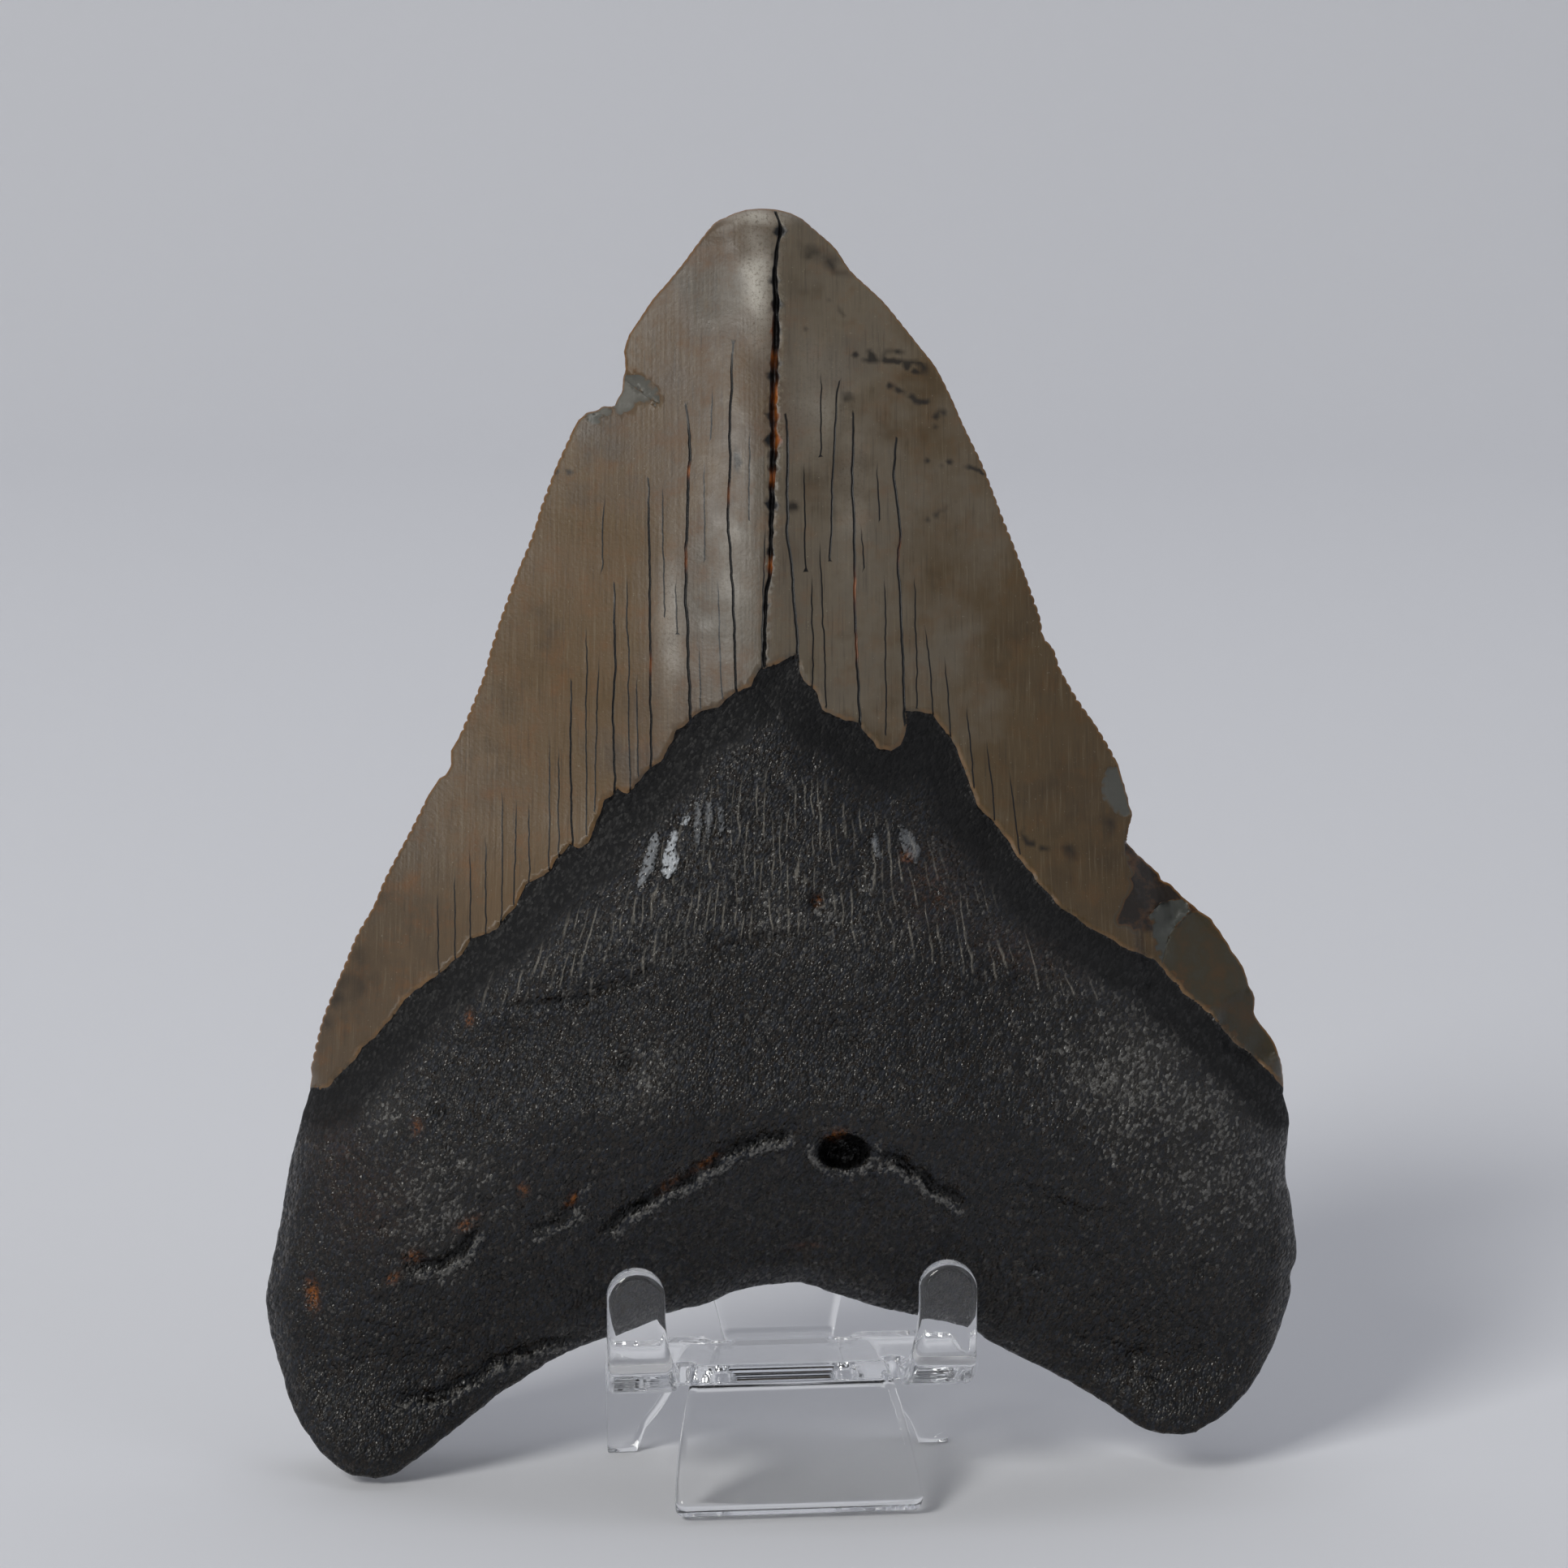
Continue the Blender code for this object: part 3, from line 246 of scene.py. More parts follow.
enamel = {
    "margin": [(-40.0, 33.6), (-39.4, 33.8), (-37.7, 35.5), (-35.6, 37.8), (-33.4, 40.2), (-32.5, 41.5),
        (-29.7, 43.6), (-28.0, 45.0), (-26.8, 46.6), (-24.7, 47.4), (-23.1, 49.2), (-22.1, 51.3), (-20.0, 52.5),
        (-19.6, 53.4), (-18.3, 54.8), (-17.4, 54.4), (-16.7, 54.9), (-16.1, 56.8), (-15.3, 58.5), (-14.5, 59.0),
        (-14.3, 59.6), (-13.4, 59.1), (-12.8, 59.6), (-11.6, 61.2), (-10.5, 62.0), (-9.5, 63.5), (-9.3, 64.4),
        (-8.3, 65.0), (-7.7, 65.7), (-5.5, 66.5), (-4.8, 67.2), (-2.9, 68.2), (-2.3, 69.5), (-0.4, 70.1),
        (0.4, 70.7), (1.1, 70.9), (1.3, 69.6), (1.8, 68.6), (2.7, 67.9), (3.4, 66.2), (5.3, 65.3), (6.4, 65.2),
        (6.7, 64.4), (7.6, 63.5), (8.0, 62.9), (9.1, 62.7), (9.9, 63.2), (10.2, 64.2), (10.3, 66.1),
        (11.3, 66.1), (12.8, 65.8), (14.3, 63.9), (15.4, 61.6), (16.6, 58.2), (19.1, 55.1), (21.5, 51.8),
        (23.8, 49.2), (25.9, 47.8), (30.1, 45.4), (31.9, 44.8), (34.0, 42.3), (36.9, 39.9), (38.5, 38.1),
        (41.4, 35.6), (43.4, 33.5)],
    "backMargin": [(-42.0, 31.0), (-36.0, 33.5), (-28.0, 38.0), (-18.0, 43.5), (-8.0, 46.6), (2.0, 47.2),
        (12.0, 45.4), (22.0, 41.2), (32.0, 36.0), (45.0, 31.0)],
    "thickness": 0.38, "stepHalf": 0.10, "backStepHalf": 0.25, "raggedness": 0.18,
    "bourletteWidth": 6.0, "bourletteDepth": 0.30,
    "mainCrack": [(-0.7, 109.4), (-0.3, 108.1), (-0.6, 106.1), (-0.8, 103.8), (-0.7, 100.9), (-0.8, 96.6),
        (-0.9, 92.3), (-0.9, 88.0), (-1.1, 82.3), (-1.2, 78.2), (-1.5, 75.4), (-1.7, 69.5)],
    "mainWidth": [(66, 0.09), (72, 0.11), (80, 0.15), (86, 0.24), (92, 0.30), (99, 0.27), (103, 0.20),
                  (106, 0.13), (110, 0.07)],            # half width against height
    "cracks": [  # open cracks, half width in mm first
        (0.15, [(0.1, 91.5), (0.3, 89.1), (0.3, 83.8), (0.3, 80.9), (0.6, 78.2), (1.0, 73.3), (1.2, 69.0)]),
        (0.13, [(-4.4, 97.7), (-4.6, 92.3), (-4.6, 87.3), (-4.8, 82.4), (-4.4, 77.5), (-4.2, 71.9),
            (-4.0, 67.0)]),
        (0.15, [(-8.4, 92.4), (-8.1, 88.5), (-8.2, 85.3), (-8.4, 76.8), (-8.2, 72.0), (-7.9, 64.5)]),
        (0.12, [(-11.7, 86.1), (-11.6, 82.5), (-11.5, 76.9), (-11.4, 68.5), (-11.3, 60.5)]),
        (0.12, [(-14.6, 77.0), (-14.5, 69.3), (-14.6, 65.8), (-14.4, 58.0)]),
        (0.11, [(-18.3, 68.6), (-18.3, 60.2), (-18.1, 53.5)]),
        (0.14, [(6.0, 91.7), (5.9, 86.0), (6.0, 79.7), (6.1, 73.4), (6.5, 64.0)]),
        (0.14, [(9.7, 89.7), (9.5, 86.1), (10.0, 81.2), (9.8, 79.0), (10.0, 74.8), (10.3, 65.0)]),
        (0.11, [(4.8, 94.5), (4.5, 92.4), (4.2, 85.9), (3.9, 78.9)])],
    "hairCracks": [  # x and s at the top, x and s at the foot
        (-6.2, 94.8, -6.3, 89.5), (-5.7, 77.8, -5.2, 67.0), (-10.5, 86.1, -10.2, 74.1),
        (-13.5, 78.4, -13.1, 59.0), (-15.9, 71.4, -16.2, 57.5), (-17.0, 74.2, -16.9, 55.5),
        (-19.4, 63.7, -19.3, 53.5), (-20.2, 64.4, -20.1, 52.5), (-22.0, 58.8, -21.8, 51.0),
        (-23.1, 59.2, -23.1, 49.5), (-24.4, 60.0, -24.1, 47.5), (-25.8, 56.0, -25.5, 47.0),
        (-27.2, 54.8, -26.8, 46.0), (-28.5, 53.2, -28.1, 44.5), (-29.9, 51.1, -29.6, 43.5),
        (3.2, 95.9, 3.1, 88.0), (3.0, 81.0, 3.6, 66.5), (2.3, 78.2, 2.5, 67.5), (-1.6, 82.3, -1.9, 69.0),
        (-2.9, 90.8, -3.0, 82.3), (1.7, 88.0, 1.8, 78.2), (8.0, 88.2, 8.2, 82.5), (8.6, 78.3, 8.7, 64.0),
        (11.2, 78.4, 11.4, 66.3), (12.1, 74.2, 12.8, 65.5), (13.7, 71.4, 14.3, 64.0), (15.6, 67.2, 16.3, 59.5),
        (17.4, 64.4, 18.1, 56.8), (19.3, 61.6, 20.2, 53.8), (-9.3, 78.3, -9.1, 72.7), (-6.8, 88.1, -6.8, 78.9),
        (-7.2, 72.6, -7.0, 66.2), (-12.6, 69.9, -12.4, 60.5), (-15.5, 85.5, -15.7, 78.4),
        (6.5, 82.5, 6.9, 78.3)],
    "hairHalfWidth": 0.08, "mainDepth": 0.6, "mainFoot": 69.0,
    # the lip is a painted highlight: a pale band beside the main crack where light catches its right wall
    "lipBack": 0.22, "lipWidth": 0.15, "lipAbove": (72.0, 80.0), "lipHighlight": 0.35,      # beside the main crack
    "crackWander": ((0.08, 1.3, 1.0), (0.10, 4.0, 2.0), (0.05, 0.6, 3.0)), "ripple": 0.016, "backFolds": 0.06,
    "openCrack": {"fade": 5.0, "least": 0.35, "most": 0.65, "uneven": 0.3, "depth": 0.20},
    "hairCrack": {"fade": 4.0, "least": 0.0, "most": 0.8, "uneven": 0.5, "depth": 0.012},
    "stains": [  # x, s, half width, half height, turn, strength
        (-38.6, 41.5, 2.6, 5.5, -35, 0.34), (-35.0, 50.5, 1.2, 4.5, -28, 0.22),
        (2.6, 105.9, 1.6, 0.8, -24, 0.55), (4.4, 105.0, 1.5, 0.7, -35, 0.6), (12.0, 95.9, 0.5, 0.5, 0, 0.7),
        (13.8, 92.1, 0.45, 0.35, -30, 0.8), (28.4, 56.4, 1.5, 1.4, 20, 0.35), (24.6, 53.9, 1.2, 0.8, 0, 0.4),
        (5.5, 93.2, 0.45, 0.4, 0, 0.8), (-4.0, 87.4, 0.26, 1.0, 4, 0.95), (0.8, 83.4, 0.55, 0.5, 0, 0.7),
        (-1.4, 77.0, 0.4, 0.7, 0, 0.6), (4.3, 82.9, 0.3, 0.3, 0, 0.8), (-4.4, 84.0, 0.3, 0.5, 0, 0.5),
        (-24.5, 62.0, 2.5, 1.4, -40, 0.22), (-10.0, 95.5, 2.2, 1.0, 10, 0.15), (18.5, 70.0, 2.5, 1.2, 50, 0.2)],
    "scratches": [  # dark ragged lines: half width, strength, course
        (0.16, 1.0, [(6.0, 97.0), (7.2, 97.1), (8.0, 96.6), (9.6, 96.5), (10.8, 95.9), (11.8, 95.6)]),
        (0.12, 0.8, [(7.0, 96.4), (8.3, 96.7), (9.1, 97.6), (10.6, 97.1)]),
        (0.10, 0.7, [(9.4, 96.4), (12.4, 96.4)]),
        (0.15, 0.9, [(9.0, 94.3), (10.2, 93.8), (11.6, 93.1), (12.4, 92.9)]),
        (0.14, 0.8, [(13.4, 92.4), (13.2, 91.4), (12.9, 90.6)]),
        (0.13, 0.9, [(12.1, 87.9), (13.0, 87.5), (14.6, 87.6), (16.2, 87.4), (17.4, 86.7)]),
        (0.10, 0.6, [(11.9, 82.4), (13.0, 82.8), (13.9, 83.6)]),
        (0.10, 0.5, [(14.2, 83.9), (14.9, 84.4)]),
        (0.13, 0.8, [(-19.9, 86.9), (-19.0, 87.0), (-18.2, 86.7)]),
        (0.15, 0.8, [(20.5, 55.9), (20.6, 55.0), (21.6, 54.5), (23.2, 54.2), (24.6, 54.2)]),
        (0.12, 0.6, [(3.9, 101.6), (4.8, 101.0), (5.4, 100.3)]),
        (0.10, 0.5, [(1.6, 99.4), (2.2, 98.8)])],
    # partly painted highlight: the patch at (-9.6, 73.5) stands in for the highlight left of the middle, and
    # the tip patch, a whitish worn place, is made stronger to paint the tip's highlight
    "pale": [(-2.4, 103.4, 1.2, 4.8, 3, 1.0), (-2.3, 109.0, 2.2, 0.7, 0, 1.0), (-9.6, 73.5, 1.0, 6.0, 0, 0.45),
        (3.0, 92.5, 2.5, 5.0, 0, 0.22), (-4.5, 80.0, 1.5, 7.0, 0, 0.25), (5.6, 85.0, 1.4, 6.0, 0, 0.2)],
    "rust": [(-1.3, 99.2, 0.25, 1.4, 0, 1.0), (-0.6, 92.6, 0.35, 1.3, 0, 0.9), (-8.0, 86.6, 0.3, 0.5, 0, 0.9),
        (-0.6, 89.6, 0.25, 1.0, 0, 0.8), (-14.0, 80.6, 0.4, 1.0, 10, 0.4), (6.9, 82.0, 0.25, 0.6, 0, 0.6),
        (-0.9, 96.4, 0.25, 0.7, 0, 0.8), (-1.0, 86.0, 0.3, 0.6, 0, 0.8), (-1.2, 78.4, 0.35, 0.6, 0, 0.7),
        (6.2, 76.5, 0.3, 1.2, 0, 0.7), (6.3, 71.5, 0.3, 0.9, 0, 0.6), (10.1, 79.5, 0.25, 1.0, 0, 0.6),
        (-8.3, 79.0, 0.25, 0.8, 0, 0.5), (-4.7, 84.5, 0.25, 0.7, 0, 0.4), (-11.4, 70.0, 0.3, 0.7, 0, 0.5)],
}

root = {
    "creases": [  # left to right, the pale ridge lies below
        (1.0, [(-16.0, 20.7), (-15.0, 22.0), (-12.0, 24.5), (-9.3, 26.0), (-6.6, 27.6), (-4.5, 29.2),
            (-1.7, 30.1), (2.3, 30.6)]),
        (0.9, [(7.2, 28.5), (9.2, 28.2), (11.2, 27.1), (13.3, 25.6), (15.1, 24.5), (16.4, 24.1)]),
        (0.9, [(-32.9, 17.4), (-31.2, 18.5), (-28.5, 19.5), (-25.8, 21.7), (-24.9, 22.9)]),
        (0.7, [(-23.0, 21.4), (-20.9, 21.9), (-18.4, 23.5), (-17.3, 26.8)]),
        (0.7, [(-34.3, 6.7), (-30.3, 7.1), (-28.0, 8.1), (-25.4, 9.6), (-22.4, 10.9), (-19.3, 11.9),
            (-16.4, 12.8)]),
        (0.35, [(16.4, 24.6), (19.5, 25.6), (22.9, 24.7), (26.1, 23.2), (28.5, 23.0)]),
        (0.35, [(23.4, 12.6), (26.0, 11.6), (28.3, 11.2)]),
        (0.35, [(27.6, 10.1), (31.0, 9.2), (34.7, 8.6)]),
        (0.3, [(-3.2, 25.1), (-0.4, 25.7), (3.0, 25.9)]),
        (0.3, [(-4.6, 18.3), (-0.4, 19.4), (3.1, 19.8)]),
        (0.3, [(-19.3, 14.1), (-16.5, 15.5), (-11.6, 17.3), (-8.1, 17.6)]),
        (0.45, [(-24.6, 41.0), (-18.2, 41.4), (-16.1, 42.1), (-12.0, 43.7), (-9.0, 45.2)]),
        (0.35, [(-5.8, 46.0), (-1.0, 46.9), (3.0, 47.3)]),
        (0.3, [(14.6, 44.2), (19.0, 43.5), (22.9, 42.4)]),
        (0.3, [(-35.8, 20.7), (-33.6, 22.2), (-31.4, 23.7)])],
    "creaseWidth": 0.42, "creaseDepth": 0.85, "ridgeDrop": 0.78, "ridgeWidth": 0.34, "ridgeHeight": 0.28,
    "foramen": (5.0, 28.9), "foramenHalf": (2.2, 1.6), "foramenDepth": 2.6,
    "pits": [(-13.3, 36.4, 0.8, 0.6, 0, 0.5), (35.7, 18.5, 0.6, 1.0, 0, 0.45), (40.5, 15.8, 0.5, 0.8, 0, 0.35),
        (30.4, 10.5, 0.8, 0.5, 0, 0.4), (-29.2, 32.1, 0.6, 0.8, 0, 0.45), (5.4, 38.6, 1.4, 0.7, -15, 0.3),
        (2.8, 50.0, 0.55, 0.7, 0, 0.6), (21.4, 18.2, 0.8, 0.5, 0, 0.4), (-40.6, 15.9, 0.45, 1.1, 5, 0.5),
        (-26.9, 22.5, 1.0, 0.5, 30, 0.4), (-31.6, 19.3, 0.9, 0.5, 30, 0.4)],
    "scales": [  # thin shiny scales: gloss, then the corners
        (1.0, [(-9.3, 56.2), (-8.9, 55.6), (-9.2, 54.6), (-8.8, 53.6), (-9.1, 52.4), (-9.8, 51.8),
            (-10.4, 52.2), (-10.2, 53.6), (-9.9, 54.9)]),
        (0.45, [(-10.9, 55.8), (-10.5, 55.0), (-10.8, 53.8), (-11.0, 52.6), (-11.7, 51.5), (-12.4, 51.0),
            (-12.2, 52.4), (-11.7, 53.9), (-11.3, 55.2)]),
        (0.9, [(-8.4, 57.3), (-7.9, 57.0), (-8.2, 56.3), (-8.8, 56.4)]),
        (0.28, [(-7.6, 58.3), (-7.1, 58.2), (-6.9, 56.5), (-7.2, 54.6), (-7.6, 55.2)]),
        (0.30, [(-6.6, 58.4), (-6.1, 58.2), (-6.0, 56.6), (-6.4, 55.0), (-6.7, 56.4)]),
        (0.25, [(-5.6, 58.2), (-5.1, 57.9), (-5.0, 56.3), (-5.4, 55.3)]),
        (0.30, [(7.6, 56.0), (8.0, 55.0), (8.3, 53.6), (7.9, 53.3), (7.4, 54.6)]),
        (0.22, [(9.9, 56.4), (10.9, 55.6), (11.6, 54.2), (11.2, 53.0), (10.2, 53.8), (9.8, 55.2)])],
    "scaleHeight": 0.20,
    "rust": [(-40.6, 15.9, 0.42, 1.1, 5, 1.0), (-26.9, 22.5, 0.9, 0.35, 32, 0.7),
        (-31.6, 19.5, 0.7, 0.4, 20, 0.6), (-33.4, 17.6, 0.6, 0.25, 40, 0.7), (-17.9, 24.7, 0.25, 0.6, -30, 0.8),
        (-26.7, 39.9, 0.25, 0.5, 0, 0.8), (10.4, 53.7, 0.4, 0.5, 0, 0.7), (1.7, 20.1, 1.2, 0.2, 5, 0.35),
        (4.4, 30.4, 0.7, 0.35, 15, 0.7), (-31.1, 30.8, 0.35, 0.6, 0, 0.5), (-22.0, 25.6, 0.35, 0.4, 0, 0.6),
        (-6.7, 27.9, 1.3, 0.25, 35, 0.5), (-9.8, 26.0, 0.9, 0.3, 40, 0.4), (-36.0, 24.0, 4.0, 4.0, 0, 0.04),
        (-38.0, 28.0, 3.0, 3.0, 0, 0.04), (2.8, 50.0, 0.3, 0.4, 0, 0.5), (12.5, 51.0, 2.6, 3.0, 0, 0.06),
        (20.0, 45.5, 4.0, 1.5, -25, 0.05)],
    # painted highlights: pale patches where the lobes and the bulge left of the middle face the light
    "pale": [(31.4, 34.2, 9.5, 6.2, -38, 0.95), (36.6, 27.0, 5.5, 6.5, -15, 0.75),
        (-28.4, 24.6, 5.0, 4.0, 25, 0.7), (-29.5, 19.7, 4.0, 3.0, 30, 0.5), (-11.6, 35.0, 2.2, 3.6, -20, 0.45),
        (27.9, 40.0, 3.2, 2.4, 0, 0.45), (1.5, 48.5, 5.5, 3.0, 0, 0.30), (-9.0, 47.5, 5.0, 4.0, 35, 0.12),
        (-33.5, 31.5, 3.0, 3.0, 0, 0.4)],
    "wrinkleTop": [(-40, 36.5), (-34, 40.0), (-28, 43.5), (-22, 47.5), (-15, 51.5), (-9, 57.5), (-4, 61.5),
        (2, 62.0), (6, 59.0), (11, 56.5), (16, 53.0), (22, 48.0), (28, 43.5), (34, 40.0), (42, 35.0)],
    "wrinkleFoot": [(-40, 36.0), (-30, 40.0), (-23.8, 41.4), (-16, 42.3), (-12, 43.9), (-5.8, 46.3), (3, 47.3),
        (9, 45.8), (14.6, 44.2), (22.9, 42.4), (30, 40.2), (42, 35.0)],
    "wrinkleSize": 1.7, "wrinkleHeight": 0.13, "fanCentre": (0.0, 122.0), "fanReach": 72.0,
    "fanHalf": 42.0, "fanOut": (55.0, 100.0), "fanFolds": 0.12,
    "creaseTaper": 2.5, "creaseWander": ((0.45, 1.6, 6.0), (0.22, 0.7, 7.0)),
    "rolling": 0.36, "lumpy": 0.19, "slanting": 0.09, "backRolling": 0.3, "backLumpy": 0.1,
    # after the pits' depth comes how strongly they are painted with shade
    "pitDepth": 1.1, "pitShade": 1.3, "foramenRim": 1.25,
}

# Broken facets on the heel: a point on the scar, the way it falls in the face plane, its slope and
# the relief left standing there, and how far it reaches.
heelFacets = [
    {"at": (31.3, 51.6), "falls": (1.0, 0.45), "slope": 0.95, "left": 1.55, "reach": 4.6},
    {"at": (36.0, 45.6), "falls": (0.75, 0.75), "slope": 0.7, "left": 1.6, "reach": 5.5},
    {"at": (40.6, 38.6), "falls": (1.0, 0.2), "slope": 0.8, "left": 1.0, "reach": 3.2}]

# Chips with a drawn border: (x, s, depth below the face) of each corner; tone 0 is grey, 1 dark brown.
chips = [
    {"tone": 0.06, "rough": 0.02, "corners": [(-14.2, 95.3, 0.1), (-12.6, 95.3, 0.12), (-11.3, 94.6, 0.1),
        (-10.8, 93.6, 0.08), (-10.8, 92.6, 0.42), (-13.8, 94.9, 0.55)]},
    {"tone": 0.0, "rough": 0.02, "corners": [(-14.3, 95.0, 0.52), (-13.7, 94.9, 0.55), (-10.9, 92.4, 0.4),
        (-12.6, 93.1, 0.2), (-13.2, 92.3, 0.12), (-14.5, 91.7, 0.1), (-15.0, 92.8, 0.3), (-14.6, 94.0, 0.45)]},
    {"tone": 0.0, "rough": 0.04, "corners": [(-16.6, 91.7, 0.05), (-16.2, 92.9, 0.3), (-15.2, 92.9, 0.35),
        (-14.9, 91.8, 0.08)]},
    {"tone": 0.1, "rough": 0.0, "corners": [(-17.4, 92.3, 0.12), (-15.8, 91.9, 0.06), (-16.1, 91.0, 0.02),
        (-16.9, 91.0, 0.03)]},
    {"tone": 0.12, "rough": 0.01, "corners": [(28.3, 61.3, 0.04), (29.6, 61.2, 0.25), (30.4, 57.2, 0.3),
        (29.3, 56.9, 0.08), (28.5, 57.5, 0.05), (27.7, 58.5, 0.04), (27.5, 59.8, 0.03)]},
    {"tone": 1.0, "rough": 0.16, "corners": [(29.5, 54.9, 0.1), (30.5, 54.4, 0.5), (32.9, 52.4, 0.9),
        (33.5, 51.5, 0.9), (35.0, 49.8, 0.7), (32.7, 49.5, 0.35), (31.5, 48.3, 0.15), (30.9, 49.6, 0.12),
        (30.4, 50.9, 0.1), (30.0, 52.2, 0.08), (29.6, 53.6, 0.08)]},
    {"tone": 0.25, "rough": 0.04, "corners": [(31.5, 48.3, 0.12), (32.7, 49.5, 0.35), (35.0, 49.8, 0.5),
        (35.4, 48.8, 0.45), (34.2, 47.7, 0.35), (33.4, 46.8, 0.25), (32.9, 45.3, 0.15), (32.6, 44.3, 0.1),
        (31.9, 46.0, 0.08), (31.9, 47.7, 0.08)]},
    {"tone": 0.5, "rough": 0.03, "corners": [(35.4, 48.8, 0.15), (37.5, 48.8, 0.3), (40.2, 44.2, 0.3),
        (41.3, 41.2, 0.2), (41.0, 39.9, 0.15), (43.4, 37.0, 0.2), (43.6, 34.2, 0.1), (42.0, 34.9, 0.02),
        (38.5, 38.4, 0.02), (34.1, 42.6, 0.02), (32.6, 44.3, 0.02), (32.9, 45.3, 0.05), (33.4, 46.8, 0.08),
        (34.2, 47.7, 0.1)]}]

crackRuns = [(enamel["openCrack"], half, line) for half, line in enamel["cracks"]]
crackRuns += [(enamel["hairCrack"], enamel["hairHalfWidth"], [(xTop, sTop), (xFoot, sFoot)])
              for xTop, sTop, xFoot, sFoot in enamel["hairCracks"]]
breakage = {"facetFloor": 0.22, "chipFloor": 0.12, "leastDepth": 0.03, "bareAbove": 47.0}
maskNames = ("crack", "hollow", "ridge", "gloss", "wrinkled", "crest", "scar", "tone", "pale", "rust", "stain",
             "toMargin")

density = {                                             # mesh spacing in mm
    "crown": 0.50, "root": 0.44, "back": 0.64, "foldAcross": 0.19, "foldAlong": 0.42,
    "bladeRows": (0.06, 0.16, 0.36, 0.70), "rootRows": (0.07, 0.25, 0.6, 1.1, 1.7, 2.4),
    "rootStep": 0.42, "chipStep": 0.3, "marginStep": 0.3, "crackStep": 0.3, "creaseStep": 0.35,
    "bladeAbove": 35.0, "clearOfEdge": 0.12, "clearOfLines": 0.1, "clearInFill": 0.16, "clearBehind": 0.35,
}


def sawEdge(points):
    # rounded saw teeth with narrow notches, cut into a smooth edge
    step = tooth["sawPitch"] / 6
    line = smoothLine(points, step)
    run = np.arange(len(line)) * step
    sharp = ramp(tooth["sawSharpBelow"] + 6, tooth["sawSharpBelow"] - 6, line[:, 1])
    uneven = 1.0 + 0.9 * grain(line, 2.2, 8.0)
    depth = (tooth["sawWorn"] + (tooth["sawDepth"] - tooth["sawWorn"]) * sharp) * uneven
    notch = 1.0 - np.abs(np.sin(math.pi * run / tooth["sawPitch"])) ** 0.6
    ends = np.minimum(1.0, np.minimum(run, run[-1] - run) / tooth["sawPitch"])
    return line + leftOf(line) * (depth * notch * ends)[:, None]


def roughLine(points, step, depth, smooth=True):
    line = smoothLine(points, step) if smooth else resample(points, step)
    uneven = grains(line, tooth["ragged"]) * depth
    uneven[[0, -1]] = 0.0
    return line + leftOf(line) * uneven[:, None]


def outlineLoop():
    def edge(name):
        return sawEdge(tooth[name])

    def worn(name):
        return roughLine(tooth[name], density["rootStep"], 0.10)

    def broken(name, depth):
        return roughLine(tooth[name], density["chipStep"], depth, False)

    return np.vstack([
        smoothLine(tooth["tip"], 0.3), edge("leftTipEdge"), broken("leftChip", 0.10), edge("leftEdge"),
        broken("leftNick", 0.06), edge("leftHeel"), worn("leftRoot"), worn("arch"), worn("rightRoot"),
        broken("rightChip", 0.12), edge("rightEdge")])


outline = outlineLoop()
closedOutline = np.vstack([outline, outline[:1]])
leftCurve = smoothLine(tooth["tip"][1:] + tooth["leftTipEdge"] + tooth["leftBefore"] + tooth["leftEdge"]
                       + tooth["leftHeel"] + tooth["leftRoot"], 1.0)
rightCurve = smoothLine(tooth["rightRoot"] + tooth["rightBefore"] + tooth["rightEdge"] + tooth["tip"][:2], 1.0)
archCurve = smoothLine([tooth["leftRoot"][-1]] + tooth["arch"] + [tooth["rightRoot"][0]], 1.0)
frontRidge, backRidge = heightCurve(tooth["frontRidge"]), heightCurve(tooth["backRidge"])
wrinkleTop, wrinkleFoot = heightCurve(root["wrinkleTop"]), heightCurve(root["wrinkleFoot"])
mainWidth = heightCurve(enamel["mainWidth"])
marginLine = roughLine(enamel["margin"], density["marginStep"], enamel["raggedness"], False)
backMarginLine = roughLine(enamel["backMargin"], 0.5, 0.3)


def nearestGap(points, others):
    tree = kdtree.KDTree(len(others))
    for k, q in enumerate(others):
        tree.insert((*q, 0.0), k)
    tree.balance()
    return np.array([tree.find((*q, 0.0))[2] for q in points])


def edgeGap(p):
    # distance to the real outline, exact where it matters and rough further in
    gap = nearestGap(p, outline)
    close = gap < 3.0
    gap[close] = lineDistance(p[close], closedOutline)[0]
    return gap


def aboveMargin(p, line):
    # signed distance from the enamel's lower margin, positive on the enamel
    gap = lineDistance(p, line)[0]
    above = np.vstack([[line[0][0] - 20, line[0][1] - 3], line, [line[-1][0] + 20, line[-1][1] - 3],
                       [line[-1][0] + 20, 140], [line[0][0] - 20, 140]])
    return np.where(insideLoop(p, above), gap, -gap)


def halfWidth(s):
    left = np.interp(-s, -leftCurve[:, 1], -leftCurve[:, 0])
    right = np.interp(s, rightCurve[:, 1], rightCurve[:, 0])
    return np.maximum(0.5 * (left + right), 2.5)


def crossSection(p, near, flat):
    # body is 0 at the edges and 1 along the middle; rim is the rounding over at the very edge
    s = p[:, 1]
    crown = ramp(*tooth["crownBase"], s)
    width = tooth["rootSideWidth"] + (halfWidth(s) - tooth["rootSideWidth"]) * crown
    body = np.ones(len(p))
    for edge in (leftCurve, rightCurve):
        q = unit(lineDistance(p, edge)[0] / width)
        rounded = 1.0 - (1.0 - q) ** tooth["crownFlatness"]
        hollow = flat * rounded + (1.0 - flat) * q * q * (3.0 - 2.0 * q)
        body *= rounded + (hollow - rounded) * crown
    gap = lineDistance(p, archCurve)[0]
    body *= 1.0 - (1.0 - unit(gap / tooth["archSlopeWidth"])) ** 1.5
    inRoot = 1.0 - ramp(*tooth["rootTop"], s)
    atTip = ramp(*tooth["tipBlunting"], s)
    high, reach = [blade + (low - blade) * inRoot + (top - blade) * atTip for blade, low, top
                   in zip(tooth["bladeRim"], tooth["rootRim"], tooth["tipRim"])]
    rim = high * np.sqrt(1.0 - (1.0 - unit(near / reach)) ** 2)
    return body, rim


